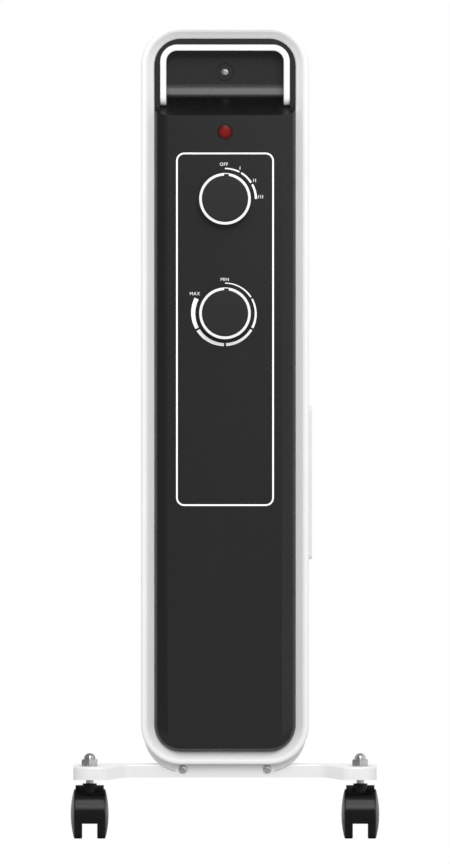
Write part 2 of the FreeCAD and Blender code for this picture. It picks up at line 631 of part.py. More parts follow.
def knob_ring(z):
    """White ring on the knob's edge, notched on its inner side as a pointer."""
    centre = Vector(0, KNOB_FRONT_Y, z)
    ring = rod(centre, ALONG_Y, KNOB_RING_H, KNOB_R).cut(
        rod(centre - ALONG_Y, ALONG_Y, KNOB_RING_H + 2, KNOB_R - KNOB_RING_W))
    inner = KNOB_R - KNOB_RING_W
    notch = box(-POINTER_W / 2, POINTER_W / 2, KNOB_FRONT_Y - 1, KNOB_FRONT_Y + KNOB_RING_H + 1,
                z + inner - 1, z + inner + POINTER_DEPTH)
    notch.rotate(centre, ALONG_Y, POINTER_ANGLE)
    return ring.cut(notch)


def shaft(z, grow=0.0):
    """D-shaped spindle from inside the switch to the knob; grown, it cuts the knob's socket."""
    start = Vector(0, KNOB_BACK_Y - SHAFT_IN_KNOB - grow, z)
    length = FACE_Y + COVER_T + SHAFT_IN_BODY + grow - start.y
    flat = box(-2 * SHAFT_R, 2 * SHAFT_R, start.y - 1, KNOB_BACK_Y, z + SHAFT_R - SHAFT_FLAT + grow,
               z + 2 * SHAFT_R)
    return rod(start, ALONG_Y, length, SHAFT_R + grow).cut(flat)


def bushed_body(z, width, height, depth):
    """Switch or thermostat body behind the panel, with the bushing that goes through it."""
    back_of_panel = FACE_Y + COVER_T
    body = box(-width / 2, width / 2, back_of_panel, back_of_panel + depth, z - height / 2, z + height / 2)
    bushing_l = COVER_T + BUSHING_NUT_H
    bushing = rod(Vector(0, back_of_panel, z), -ALONG_Y, bushing_l, BUSHING_R)
    bore = rod(Vector(0, back_of_panel - bushing_l - 1, z), ALONG_Y,
               1 + bushing_l + SHAFT_IN_BODY + SHAFT_END_GAP, SHAFT_R + SHAFT_FIT)
    return body.fuse(bushing).cut(bore)


def power_switch():
    """Rotary switch with two rows of blade terminals."""
    body = bushed_body(POWER_Z, SWITCH_SIDE, SWITCH_SIDE, SWITCH_DEPTH)
    back = FACE_Y + COVER_T + SWITCH_DEPTH
    roots = [Vector(side * SWITCH_BLADE_X, back, POWER_Z + row * SWITCH_BLADE_PITCH)
             for side in (-1, 1) for row in (-1, 0, 1)]
    return body.fuse([blade(root, ALONG_Y, ALONG_Z) for root in roots])


def thermostat():
    """Bimetal thermostat: a base with a narrower contact block behind and a terminal at each side."""
    body = bushed_body(THERMOSTAT_Z, THERMOSTAT_W, THERMOSTAT_H, THERMOSTAT_DEPTH)
    back = FACE_Y + COVER_T + THERMOSTAT_DEPTH
    width, depth, height = CONTACT_BLOCK
    step = box(-width / 2, width / 2, back, back + depth,
               THERMOSTAT_Z - height / 2, THERMOSTAT_Z + height / 2)
    blades = [blade(Vector(side * THERMOSTAT_BLADE_X, back, THERMOSTAT_Z), ALONG_Y, ALONG_X)
              for side in (-1, 1)]
    return body.fuse([step] + blades)


def bushing_nut(z):
    nut = hexagon(Vector(0, FACE_Y, z), -ALONG_Y, BUSHING_NUT_AF, BUSHING_NUT_H)
    return nut.cut(rod(Vector(0, FACE_Y + 1, z), -ALONG_Y, BUSHING_NUT_H + 2, BUSHING_R + THREAD_GAP))


# ------------------------------------------------------------------ other pieces in and on the housing
def tip_over_switch():
    """Sealed switch box that stands on the housing's floor."""
    width, depth, height = TIP_SWITCH_SIZE
    y = HOUSING_MIDDLE_Y - depth
    floor = BODY_BOTTOM + HOUSING_T
    body = box(-width / 2, width / 2, y, y + depth, floor, floor + height)
    top = Vector(0, y + depth / 2, floor + height)
    return body.fuse([blade(top + ALONG_X * (side * TIP_SWITCH_BLADE_X), ALONG_Z, ALONG_Y)
                      for side in (-1, 1)])


def terminal_block():
    """Block on the left wall with open chambers for the wires."""
    width, depth, height = TERMINAL_BLOCK_SIZE
    x = -BODY_W / 2 + HOUSING_T
    y = HOUSING_MIDDLE_Y
    bottom = BODY_BOTTOM + TERMINAL_BLOCK_RISE
    body = box(x, x + width, y, y + depth, bottom, bottom + height)
    pitch = (height - CHAMBER_WALL) / CHAMBER_COUNT
    chambers = []
    for i in range(CHAMBER_COUNT):
        low = bottom + CHAMBER_WALL + pitch * i
        chambers.append(box(x + width - CHAMBER_DEPTH, x + width + 1, y + CHAMBER_WALL,
                            y + depth - CHAMBER_WALL, low, low + pitch - CHAMBER_WALL))
    return body.cut(chambers)


def thermal_cutout():
    """Disc cut-out against the back plate, beside the lower hub."""
    base = Vector(CUTOUT_X, PLATE_Y, BODY_BOTTOM + CUTOUT_RISE)
    top = base - ALONG_Y * CUTOUT_H
    disc = rod(base, -ALONG_Y, CUTOUT_H, CUTOUT_R)
    return disc.fuse([blade(top + ALONG_X * (side * CUTOUT_BLADE_X), -ALONG_Y, ALONG_X)
                      for side in (-1, 1)])


def cord_gland():
    """Bush in the housing's floor that the mains cord comes in through."""
    base = Vector(GLAND_X, HOUSING_BACK_Y - GLAND_FROM_BACK, BODY_BOTTOM)
    neck = GLAND_R - HOLE_GAP
    top = HOUSING_T + GLAND_INSIDE
    profile = [(CORD_HOLE_R, -GLAND_FLANGE_H), (GLAND_FLANGE_R, -GLAND_FLANGE_H), (GLAND_FLANGE_R, 0),
               (neck, 0), (neck, top), (CORD_HOLE_R, top)]
    return turned(profile, base, ALONG_Z)


def side_plate():
    """Plain plate on the housing's right side."""
    x = BODY_W / 2
    front, back = HOUSING_MIDDLE_Y - SIDE_PLATE_DEPTH / 2, HOUSING_MIDDLE_Y + SIDE_PLATE_DEPTH / 2
    bottom = BODY_BOTTOM + SIDE_PLATE_RISE
    top = bottom + SIDE_PLATE_H
    corners = [(Vector(x, y, z), SIDE_PLATE_CORNER_R)
               for y, z in ((front, bottom), (back, bottom), (back, top), (front, top))]
    return Part.Face(rounded_wire(corners)).extrude(Vector(SIDE_PLATE_T, 0, 0))


# ------------------------------------------------------------------ fins and heating element
def pan_wire(inset, y):
    margin = PAN_MARGIN + inset
    return front_wire(BODY_W - 2 * margin, BODY_BOTTOM + margin, BODY_TOP - margin, PAN_CORNER_R - inset, y)


def web_wire(grow, y):
    """The flat web between the channels, a plain rectangle."""
    half = WEB_W / 2 + grow
    bottom, top = LOWER_HUB_Z + WEB_FROM_HUB - grow, UPPER_HUB_Z - WEB_FROM_HUB + grow
    return rounded_wire([(Vector(-half, y, bottom), 0), (Vector(half, y, bottom), 0),
                         (Vector(half, y, top), 0), (Vector(-half, y, top), 0)])


def oil_space():
    """Room for the oil in a fin at the origin's depth: two upright channels joined at both ends."""
    half = FIN_HALF - SHEET_T
    margin = PAN_MARGIN + PAN_SLOPE + SHEET_T
    reach = BODY_W / 2 - margin
    bottom, top = BODY_BOTTOM + margin, BODY_TOP - margin
    cut = OIL_CORNER_CUT
    points = [(-reach + cut, bottom), (reach - cut, bottom), (reach, bottom + cut), (reach, top - cut),
              (reach - cut, top), (-reach + cut, top), (-reach, top - cut), (-reach, bottom + cut)]
    corners = [(Vector(x, -half, z), 0) for x, z in points]
    room = Part.Face(rounded_wire(corners)).extrude(Vector(0, 2 * half, 0))
    web = Part.Face(web_wire(PAN_SLOPE + SHEET_T, -half - 1)).extrude(Vector(0, 2 * half + 2, 0))
    return room.cut(web)


def plain_fin(collar, last):
    """Two pressed halves welded round the seam, at the origin's depth.

    The front half's two hubs are drawn out into collars that reach the piece in front. The rear half has
    plain openings there, or on the last fin shallow closed hubs.
    """
    seam = slab(BODY_W, BODY_BOTTOM, BODY_TOP, BODY_CORNER_R, -SHEET_T, SHEET_T)
    front_pan = tapered(pan_wire(PAN_SLOPE, -FIN_HALF), pan_wire(0, -SHEET_T))
    front_web = tapered(web_wire(PAN_SLOPE, -FIN_HALF), web_wire(0, -SHEET_T))
    pressed = front_pan.cut(front_web)
    pieces = [pressed, pressed.mirror(Vector(0, 0, 0), ALONG_Y)]
    bores = []
    for z in (LOWER_HUB_Z, UPPER_HUB_Z):
        front = Vector(0, -FIN_HALF - collar, z)
        pieces.append(rod(front, ALONG_Y, collar + FIN_HALF, HUB_R))
        bores.append(rod(front, ALONG_Y, collar + 2 * FIN_HALF - (SHEET_T if last else 0), HUB_BORE_R))
        if last:
            pieces.append(rod(Vector(0, 0, z), ALONG_Y, FIN_HALF + END_HUB_H, HUB_R))
    return seam.fuse(pieces).removeSplitter().cut([oil_space()] + bores)


def fins():
    """All fins, front to back.

    The first one's upper collar is closed, with a stud on it. The last one's seam has the holes for the
    rear bracket's screws.
    """
    first_collar = FIN_PITCH / 2 - FIN_HALF
    collar = FIN_PITCH - 2 * FIN_HALF
    first, middle, last = plain_fin(first_collar, False), plain_fin(collar, False), plain_fin(collar, True)
    start = Vector(0, -FIN_PITCH / 2, UPPER_HUB_Z)
    first = first.fuse([rod(start, ALONG_Y, SHEET_T, HUB_R), rod(start, -ALONG_Y, STUD_L, STUD_R)])
    last = last.cut([rod(Vector(side * BRACKET_SCREW_X, -SHEET_T - 1, BRACKET_SCREW_Z), ALONG_Y,
                         2 * SHEET_T + 2, BRACKET_SCREW_R) for side in (-1, 1)])
    made = [first] + [middle.copy() for _ in FIN_Y[1:-1]] + [last]
    for fin, y in zip(made, FIN_Y):
        fin.translate(Vector(0, y, 0))
    return made


def top_nut():
    nut = hexagon(Vector(0, PLATE_Y, UPPER_HUB_Z), -ALONG_Y, TOP_NUT_AF, TOP_NUT_H)
    return nut.cut(rod(Vector(0, PLATE_Y + 1, UPPER_HUB_Z), -ALONG_Y, TOP_NUT_H + 2, STUD_R + THREAD_GAP))


def element_plug():
    """Hexagonal plug: it clamps the back plate to the lower hub and carries the tubes."""
    head = hexagon(Vector(0, PLATE_Y, LOWER_HUB_Z), -ALONG_Y, 2 * HUB_R, PLUG_HEAD_H)
    return head.fuse(rod(Vector(0, PLATE_Y, LOWER_HUB_Z), ALONG_Y, PLUG_SPIGOT_L, HUB_BORE_R - PLUG_FIT))


def heating_tubes():
    """Two U tubes of different length, brazed to the plug's back."""
    start = PLATE_Y + PLUG_SPIGOT_L
    tubes = []
    for reach, side in zip(TUBE_FINS, (1, -1)):
        z = LOWER_HUB_Z + side * TUBE_OFFSET
        end = FIN_Y[reach - 1]
        points = [Vector(-TUBE_BEND_R, start, z), Vector(-TUBE_BEND_R, end, z), Vector(TUBE_BEND_R, end, z),
                  Vector(TUBE_BEND_R, start, z)]
        tubes.append(bent_rod(points, TUBE_BEND_R, TUBE_R))
    return tubes


def element_terminals():
    """One blade in front of the plug for each end of the two tubes."""
    y = PLATE_Y - PLUG_HEAD_H
    return [blade(Vector(x, y, LOWER_HUB_Z + z), -ALONG_Y, ALONG_X)
            for x in (-TUBE_BEND_R, TUBE_BEND_R) for z in (-TUBE_OFFSET, TUBE_OFFSET)]


def filler_plug():
    start = Vector(0, FIN_Y[-1] + FIN_HALF + END_HUB_H, UPPER_HUB_Z)
    return hexagon(start, ALONG_Y, FILLER_AF, FILLER_H)


# ------------------------------------------------------------------ brackets
def bracket_plan(inset):
    """Plan of a bracket: straight inner edge, two rounded tabs that reach out past the flange plane."""
    end = BRACKET_HALF_W
    right = [(Vector(end, BRACKET_DEPTH, 0), TAB_REAR_R), (Vector(end, -TAB_REACH, 0), LOBE_R),
             (Vector(TAB_START, -TAB_REACH, 0), TAB_BEND_R), (Vector(ARM_END, 0, 0), TAB_BEND_R)]
    left = [(Vector(-p.x, p.y, 0), r) for p, r in reversed(right)]
    wire = rounded_wire(right + left)
    return wire.makeOffset2D(-inset) if inset else wire


def nut_seats(inset):
    """Room over the flats that are pressed into the tabs for the nuts."""
    return [rod(Vector(side * STEM_X, LOBE_R - TAB_REACH, NUT_SEAT_Z - inset), ALONG_Z, BRACKET_H,
                NUT_SEAT_R + inset) for side in (-1, 1)]


def bracket_body(inset):
    """The bracket filled in, with its flange plane at Y 0; inset, it is the room under the sheet."""
    top = BRACKET_TOP - inset
    bottom = BRACKET_BOTTOM - (BRACKET_H if inset else 0)
    plan = Part.Face(bracket_plan(inset)).extrude(Vector(0, 0, 3 * BRACKET_H))
    plan.translate(Vector(0, 0, bottom - TAB_DROP))
    end = BRACKET_HALF_W + 1
    stations = [(-end, TAB_DROP), (-TAB_START, TAB_DROP), (-ARM_END, 0),
                (ARM_END, 0), (TAB_START, TAB_DROP), (end, TAB_DROP)]

    def elevation(y, rise, dip):
        points = [Vector(x, y, top + rise - drop * dip) for x, drop in stations]
        points += [Vector(x, y, bottom - drop) for x, drop in reversed(stations)]
        return Part.makePolygon(points + points[:1])

    elevations = tapered(elevation(-TAB_REACH, 0, 1), elevation(BRACKET_DEPTH, REAR_EDGE_RISE, 0))
    grow = SEAT_GAP + inset
    seat = slab(BODY_W + 2 * grow, BODY_BOTTOM - grow, BODY_TOP, BODY_CORNER_R + grow, -TAB_REACH - 1,
                BRACKET_DEPTH + 1, BODY_CORNER_R + grow)
    return plan.common(elevations).cut([seat] + nut_seats(inset))


def bracket():
    """A pressed channel, open below, that cradles the body's rounded bottom; a tongue takes its screws."""
    sheet = bracket_body(0).cut(bracket_body(BRACKET_T))
    sheet = sheet.fuse(box(-TONGUE_HALF_W, TONGUE_HALF_W, 0, BRACKET_T, WEB_UNDERSIDE, TONGUE_TOP))
    holes = []
    for side in (-1, 1):
        holes.append(rod(Vector(side * STEM_X, LOBE_R - TAB_REACH, BRACKET_BOTTOM), ALONG_Z, BRACKET_H,
                         STEM_R + HOLE_GAP))
        holes.append(rod(Vector(side * BRACKET_SCREW_X, -1, BRACKET_SCREW_Z), ALONG_Y, BRACKET_T + 2,
                         BRACKET_SCREW_R + HOLE_GAP))
    return sheet.cut(holes)


def bracket_screws():
    """Two screws into the housing's front and two into the seam of the last fin."""
    return [pan_screw(Vector(side * BRACKET_SCREW_X, y, BRACKET_SCREW_Z), direction,
                      BRACKET_SCREW_HEAD_R, BRACKET_SCREW_HEAD_H, BRACKET_SCREW_R, BRACKET_SCREW_L)
            for y, direction in ((FLANGE_Y, ALONG_Y), (REAR_FLANGE_Y, -ALONG_Y)) for side in (-1, 1)]


# ------------------------------------------------------------------ casters
def caster_stem(x, y):
    """Swivel pin with a collar under the bracket."""
    pin = rod(Vector(x, y, STEM_BOTTOM), ALONG_Z, STEM_TOP - STEM_BOTTOM, STEM_R)
    collar_z = NUT_SEAT_Z - BRACKET_T - STEM_COLLAR_H
    return pin.fuse(rod(Vector(x, y, collar_z), ALONG_Z, STEM_COLLAR_H, STEM_COLLAR_R))


def dome_nut(x, y):
    """Cap nut: a hexagon with a blind bore, under a dome of a few conical steps."""
    base = Vector(x, y, NUT_SEAT_Z)
    nut = hexagon(base, ALONG_Z, NUT_AF, NUT_HEX_H, NUT_TURN)
    angles = [math.pi / 2 * i / NUT_DOME_STEPS for i in range(NUT_DOME_STEPS + 1)]
    dome = turned([(0, 0)] + [(NUT_DOME_R * math.cos(a), NUT_DOME_R * math.sin(a)) for a in angles[:-1]]
                  + [(0, NUT_DOME_R)], base + ALONG_Z * NUT_HEX_H, ALONG_Z)
    bore = rod(base - ALONG_Z, ALONG_Z, 1 + STEM_ENGAGE + NUT_BORE_SPARE, STEM_R + THREAD_GAP)
    return nut.fuse(dome).cut(bore)


def hood(x, stem_y):
    """Hood over both wheels, with the middle web that holds the axle and the boss for the stem."""
    y, z = stem_y + TRAIL, WHEEL_R
    axis = Vector(x, y, z)

    def across(radius, half_width):
        return rod(axis - ALONG_X * half_width, ALONG_X, 2 * half_width, radius)

    reach = HOOD_R + 1
    level_from = y + HOOD_R - HOOD_T - HOOD_REAR_RUN
    front_z, rear_z = z - HOOD_FRONT_DROP, z + HOOD_REAR_RISE
    kept = Part.Face(Part.makePolygon([
        Vector(x - HOOD_W, y - reach, front_z), Vector(x - HOOD_W, y + BOSS_R, front_z),
        Vector(x - HOOD_W, level_from, rear_z), Vector(x - HOOD_W, y + reach, rear_z),
        Vector(x - HOOD_W, y + reach, z + reach), Vector(x - HOOD_W, y - reach, z + reach),
        Vector(x - HOOD_W, y - reach, front_z)]))
    inner = HOOD_R - HOOD_T
    fender = across(HOOD_R, HOOD_W / 2).cut(across(inner, HOOD_W / 2 + 1))
    web = across(inner + HOOD_T / 2, HOOD_WEB / 2)
    body = fender.fuse(web).common(kept.extrude(Vector(2 * HOOD_W, 0, 0)))
    boss = rod(Vector(x, stem_y, STEM_BOTTOM), ALONG_Z, BOSS_TOP - STEM_BOTTOM, BOSS_R)
    boss = boss.cut(across(inner + HOOD_T / 2, HOOD_W))
    stem_hole = rod(Vector(x, stem_y, STEM_BOTTOM - STEM_FIT), ALONG_Z, BOSS_TOP, STEM_R + STEM_FIT)
    return body.fuse(boss).removeSplitter().cut([across(AXLE_R, HOOD_WEB), stem_hole])


def axle(x, stem_y):
    start = Vector(x - AXLE_END, stem_y + TRAIL, WHEEL_R)
    return rod(start, ALONG_X, 2 * AXLE_END, AXLE_R)


def wheel(x, stem_y, side):
    """One wheel of a caster: flat inside, straight tread, raised outer face, blind bore."""
    tread_end = WHEEL_INNER + WHEEL_TREAD
    outer = tread_end + WHEEL_BULGE
    bore, bore_end = AXLE_R + AXLE_FIT, AXLE_END + AXLE_END_GAP
    profile = [(bore, WHEEL_INNER), (WHEEL_R, WHEEL_INNER), (WHEEL_R, tread_end), (WHEEL_FLAT_R, outer),
               (0, outer), (0, bore_end), (bore, bore_end)]
    return turned(profile, Vector(x, stem_y + TRAIL, WHEEL_R), ALONG_X * side)


# ------------------------------------------------------------------ build
def build():
    os.makedirs("parts", exist_ok=True)
    save("front_frame", front_frame())
    save("housing", housing())
    save("back_plate", back_plate())
    save("control_cover", control_cover())
    save("handle_strip", handle_strip())
    save("pocket_strap", pocket_strap())
    save("pocket_screw", pan_screw(Vector(0, POCKET_BACK_Y + DIMPLE_DEPTH, POCKET_SCREW_Z), ALONG_Y,
                                   SCREW_HEAD_R, SCREW_HEAD_H, SCREW_SHANK_R, SCREW_SHANK_L))
    save("lamp_lens", lamp_lens())
    save("lamp_body", lamp_body())
    save("power_switch", power_switch())
    save("thermostat", thermostat())
    for name, z in (("power", POWER_Z), ("thermostat", THERMOSTAT_Z)):
        save(f"{name}_knob", knob(z))
        save(f"{name}_knob_ring", knob_ring(z))
        save(f"{name}_shaft", shaft(z))
    save("bushing_nuts", bushing_nut(POWER_Z), bushing_nut(THERMOSTAT_Z))
    save("tip_over_switch", tip_over_switch())
    save("terminal_block", terminal_block())
    save("thermal_cutout", thermal_cutout())
    save("cord_gland", cord_gland())
    save("side_plate", side_plate())

    for i, fin in enumerate(fins(), 1):
        save(f"fin_{i}", fin)
    save("top_nut", top_nut())
    save("element_plug", element_plug())
    save("heating_tubes", *heating_tubes())
    save("element_terminals", *element_terminals())
    save("filler_plug", filler_plug())

    front = bracket()
    rear = front.mirror(Vector(0, 0, 0), ALONG_Y)
    front.translate(Vector(0, FLANGE_Y, 0))
    rear.translate(Vector(0, REAR_FLANGE_Y, 0))
    save("front_bracket", front)
    save("rear_bracket", rear)
    save("bracket_screws", *bracket_screws())

    save("caster_stems", *[caster_stem(*at) for at in CASTER_STEMS.values()])
    save("dome_nuts", *[dome_nut(*at) for at in CASTER_STEMS.values()])
    for name, at in CASTER_STEMS.items():
        save(f"hood_{name}", hood(*at))
        save(f"axle_{name}", axle(*at))
        save(f"wheel_{name}_a", wheel(*at, -1))
        save(f"wheel_{name}_b", wheel(*at, 1))


build()
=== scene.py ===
import json
import math

import bmesh
import bpy
from mathutils import Matrix, Vector

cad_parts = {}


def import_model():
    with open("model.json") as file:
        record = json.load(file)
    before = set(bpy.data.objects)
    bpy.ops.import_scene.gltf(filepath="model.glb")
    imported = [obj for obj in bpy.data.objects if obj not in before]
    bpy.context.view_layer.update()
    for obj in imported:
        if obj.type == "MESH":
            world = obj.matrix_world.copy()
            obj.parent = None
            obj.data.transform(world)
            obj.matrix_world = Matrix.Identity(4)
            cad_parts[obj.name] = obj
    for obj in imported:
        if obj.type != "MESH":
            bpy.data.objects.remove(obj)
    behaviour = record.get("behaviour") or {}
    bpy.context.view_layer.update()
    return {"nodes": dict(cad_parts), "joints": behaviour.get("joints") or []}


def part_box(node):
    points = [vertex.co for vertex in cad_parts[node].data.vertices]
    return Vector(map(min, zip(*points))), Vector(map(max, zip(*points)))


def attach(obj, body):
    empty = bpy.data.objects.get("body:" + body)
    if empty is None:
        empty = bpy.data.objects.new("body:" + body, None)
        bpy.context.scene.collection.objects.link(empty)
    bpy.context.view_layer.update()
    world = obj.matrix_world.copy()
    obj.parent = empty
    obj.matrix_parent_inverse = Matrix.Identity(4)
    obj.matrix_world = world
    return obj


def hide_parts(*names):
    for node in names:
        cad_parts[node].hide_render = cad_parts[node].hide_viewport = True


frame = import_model()

# Shapes are written in millimetres: x to the right, y from the front to the back, z up.
MM = 0.001
HEATER = "heater"
CASTERS = ("front_left", "front_right", "rear_left", "rear_right")
ALONG_X, ALONG_Y, ALONG_Z = (1, 0, 0), (0, 1, 0), (0, 0, 1)


def span(node):
    low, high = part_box(node)
    return low / MM, high / MM


# ------------------------------------------------------------------ datums from the frame
FRAME_LOW, FRAME_HIGH = span("front_frame")
COVER_LOW, COVER_HIGH = span("control_cover")
HOUSING_LOW, HOUSING_HIGH = span("housing")
STRIP_HIGH = span("handle_strip")[1]
FACE_Y = COVER_LOW.y
LIP_Y = HOUSING_LOW.y
BODY_HALF = HOUSING_HIGH.x
BODY_CORNER = 31.5                # shared by the frame, the housing and the fins
FACE_TOP = FRAME_HIGH.z - 70.8    # top edge of the panel's main face
TONGUE_SCREW_X = 33.2             # the screws through a bracket's tongue, either side of the middle
TAB_X, TAB_Y = 106.5, -1.0        # a bracket's nut, from the middle and from its flange


def middle(node):
    low, high = span(node)
    return (low + high) / 2


# ------------------------------------------------------------------ meshes
def put(name, data):
    """A new object in the scene."""
    made = bpy.data.objects.new(name, data)
    bpy.context.scene.collection.objects.link(made)
    return made


class Skin:
    """Loops of points, in millimetres, joined into one mesh."""

    def __init__(self):
        self.points, self.faces = [], []

    def loops(self, rings, wrap=False, first=False, last=False):
        base, count = len(self.points), len(rings[0])
        for ring in rings:
            self.points += ring
        pairs = list(zip(range(len(rings)), range(1, len(rings))))
        if wrap:
            pairs.append((len(rings) - 1, 0))
        for a, b in pairs:
            for i in range(count):
                j = (i + 1) % count
                self.faces.append((base + a * count + i, base + a * count + j,
                                   base + b * count + j, base + b * count + i))
        if first:
            self.faces.append(tuple(base + i for i in reversed(range(count))))
        if last:
            self.faces.append(tuple(base + (len(rings) - 1) * count + i for i in range(count)))
        return self

    def grid(self, rows):
        base, count = len(self.points), len(rows[0])
        for row in rows:
            self.points += row
        for a in range(len(rows) - 1):
            for i in range(base + a * count, base + (a + 1) * count - 1):
                self.faces.append((i, i + 1, i + 1 + count, i + count))
        return self

    def object(self):
        mesh = bpy.data.meshes.new("part")
        mesh.from_pydata([Vector(p) * MM for p in self.points], [], self.faces)
        shape = bmesh.new()
        shape.from_mesh(mesh)
        bmesh.ops.remove_doubles(shape, verts=shape.verts, dist=2e-6)
        bmesh.ops.dissolve_degenerate(shape, edges=shape.edges, dist=1e-6)
        bmesh.ops.recalc_face_normals(shape, faces=shape.faces)
        shape.to_mesh(mesh)
        shape.free()
        return put("part", mesh)


def solid(rings):
    """Rings joined from one to the next and closed at both ends."""
    return Skin().loops(rings, first=True, last=True).object()


def hoop(rings):
    """Rings joined from one to the next and back to the first."""
    return Skin().loops(rings, wrap=True).object()


def outline(half, low, high, radius, foot=None, steps=10):
    """(x, z) points round an upright rectangle with round corners, from its lower right corner."""
    foot = radius if foot is None else foot
    points = []
    for x, z, r, start in ((half - foot, low + foot, foot, -90), (half - radius, high - radius, radius, 0),
                           (radius - half, high - radius, radius, 90), (foot - half, low + foot, foot, 180)):
        for i in range(steps + 1):
            angle = math.radians(start + 90 * i / steps)
            points.append((x + r * math.cos(angle), z + r * math.sin(angle)))
    return points


def at_depth(y, points):
    return [(x, y, z) for x, z in points]


def along_x(x, points):
    return [(x, y, z) for y, z in points]


def turned(profile, centre, axis, steps=64, shape=None):
    """Turns (radius, distance) points about an axis; shape bends the radius with the angle."""
    axis = Vector(axis).normalized()
    across = Vector(ALONG_X if abs(axis.x) < 0.5 else ALONG_Z)
    up = axis.cross(across)
    rings = []
    for radius, distance in profile:
        ring = []
        for i in range(steps):
            angle = 2 * math.pi * i / steps
            r = shape(radius, angle) if shape else radius
            ring.append(Vector(centre) + axis * distance
                        + across * (r * math.cos(angle)) + up * (r * math.sin(angle)))
        rings.append(ring)
    return rings


def spun(profile, centre, axis, steps=64, shape=None):
    """The piece that turning a profile makes; the profile starts and ends on the axis."""
    return Skin().loops(turned(profile, centre, axis, steps, shape)).object()


def quarter(steps):
    """Angles of a quarter turn, both ends included."""
    return [math.pi / 2 * i / steps for i in range(steps + 1)]


def arc(x, y, radius, start, end, steps):
    """Points on an arc, angles in degrees."""
    return [(x + radius * math.cos(math.radians(start + (end - start) * i / steps)),
             y + radius * math.sin(math.radians(start + (end - start) * i / steps)))
            for i in range(steps + 1)]


def move(piece, x, y, z):
    piece.data.transform(Matrix.Translation(Vector((x, y, z)) * MM))


def evaluated(piece):
    """The mesh that a piece's modifiers or letters make."""
    bpy.context.view_layer.update()
    graph = bpy.context.evaluated_depsgraph_get()
    return bpy.data.meshes.new_from_object(piece.evaluated_get(graph))


def bake(piece):
    """Applies the modifiers of a piece."""
    mesh = evaluated(piece)
    piece.modifiers.clear()
    piece.data = mesh
    return piece


def combine(piece, operation, *others):
    for other in others:
        modifier = piece.modifiers.new("combine", "BOOLEAN")
        modifier.operation, modifier.solver, modifier.object = operation, "EXACT", other
        bake(piece)
        bpy.data.objects.remove(other)
    return piece


def soften(piece, width, segments, angle):
    """Rounds a piece's sharp edges."""
    shape = bmesh.new()
    shape.from_mesh(piece.data)
    bmesh.ops.remove_doubles(shape, verts=shape.verts, dist=5e-6)
    bmesh.ops.dissolve_limit(shape, angle_limit=math.radians(1), verts=shape.verts, edges=shape.edges)
    shape.to_mesh(piece.data)
    shape.free()
    modifier = piece.modifiers.new("round", "BEVEL")
    modifier.width, modifier.segments = width * MM, segments
    modifier.limit_method, modifier.angle_limit = "ANGLE", math.radians(angle)
    modifier.miter_outer = "MITER_ARC"
    return bake(piece)


def smooth(piece, angle):
    mesh = piece.data
    mesh.shade_smooth()
    mesh.set_sharp_from_angle(angle=math.radians(angle))
    modifier = piece.modifiers.new("normals", "WEIGHTED_NORMAL")
    modifier.keep_sharp = True
    return bake(piece)


def place(piece, name, finish, body, stands_for=(), angle=35):
    """Names a piece, gives it its finish and lets it ride on its body."""
    piece.name = piece.data.name = name
    if angle:
        smooth(piece, angle)
        piece.data.name = name
    piece.data.materials.clear()
    piece.data.materials.append(finish)
    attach(piece, body)
    if stands_for:
        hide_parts(*stands_for)
    return piece


# ------------------------------------------------------------------ finishes
def grey(value, warm=0.0):
    return (value * (1 + warm), value, value * (1 - warm))


def add(owner, kind, **values):
    """A new node in a material or a world."""
    node = owner.node_tree.nodes.new(kind)
    for key, value in values.items():
        setattr(node, key, value)
    return node


def link(owner, source, target):
    owner.node_tree.links.new(source, target)


def fill(node, values):
    """Sets a node's own sockets."""
    for socket, value in values.items():
        node.inputs[socket].default_value = value


def noise(finish, scale, detail, rough=0.5):
    """A noise in object coordinates, its scale in features per metre."""
    node = add(finish, "ShaderNodeTexNoise")
    fill(node, {"Scale": scale, "Detail": detail, "Roughness": rough})
    link(finish, add(finish, "ShaderNodeTexCoord").outputs["Object"], node.inputs["Vector"])
    return node.outputs["Fac"]


def painted(name, values):
    finish = bpy.data.materials.new(name)
    finish.use_nodes = True
    shader = finish.node_tree.nodes["Principled BSDF"]
    fill(shader, values)
    return finish, shader


def surface(name, color, rough, drift, wear, grain, **more):
    """A finish that noises vary, each given as (scale, detail): drift is (noise, dark, light) for the
    colour, wear is (noise, low, high) for the roughness, and grain is a stack of bumps, each (noise,
    height in millimetres, strength). more holds other sockets, with _ for a space."""
    values = {key.replace("_", " "): value for key, value in more.items()}
    finish, shader = painted(name, {"Base Color": (*color, 1), "Roughness": rough, "IOR": 1.5, **values})
    if drift:
        clouds, *tones = drift
        ramp = add(finish, "ShaderNodeValToRGB")
        for stop, tone, position in zip(ramp.color_ramp.elements, tones, (0.35, 0.65)):
            stop.color, stop.position = (*tone, 1), position
        link(finish, noise(finish, *clouds), ramp.inputs["Fac"])
        link(finish, ramp.outputs["Color"], shader.inputs["Base Color"])
    if wear:
        clouds, low, high = wear
        fit = add(finish, "ShaderNodeMapRange")
        fill(fit, {"From Min": 0.3, "From Max": 0.7, "To Min": low, "To Max": high})
        link(finish, noise(finish, *clouds), fit.inputs["Value"])
        link(finish, fit.outputs["Result"], shader.inputs["Roughness"])
    normal = None
    for clouds, height, strength in grain:
        bump = add(finish, "ShaderNodeBump")
        fill(bump, {"Distance": height * MM, "Strength": strength})
        link(finish, noise(finish, *clouds), bump.inputs["Height"])
        if normal:
            link(finish, normal, bump.inputs["Normal"])
        normal = bump.outputs["Normal"]
    link(finish, normal, shader.inputs["Normal"])
    return finish


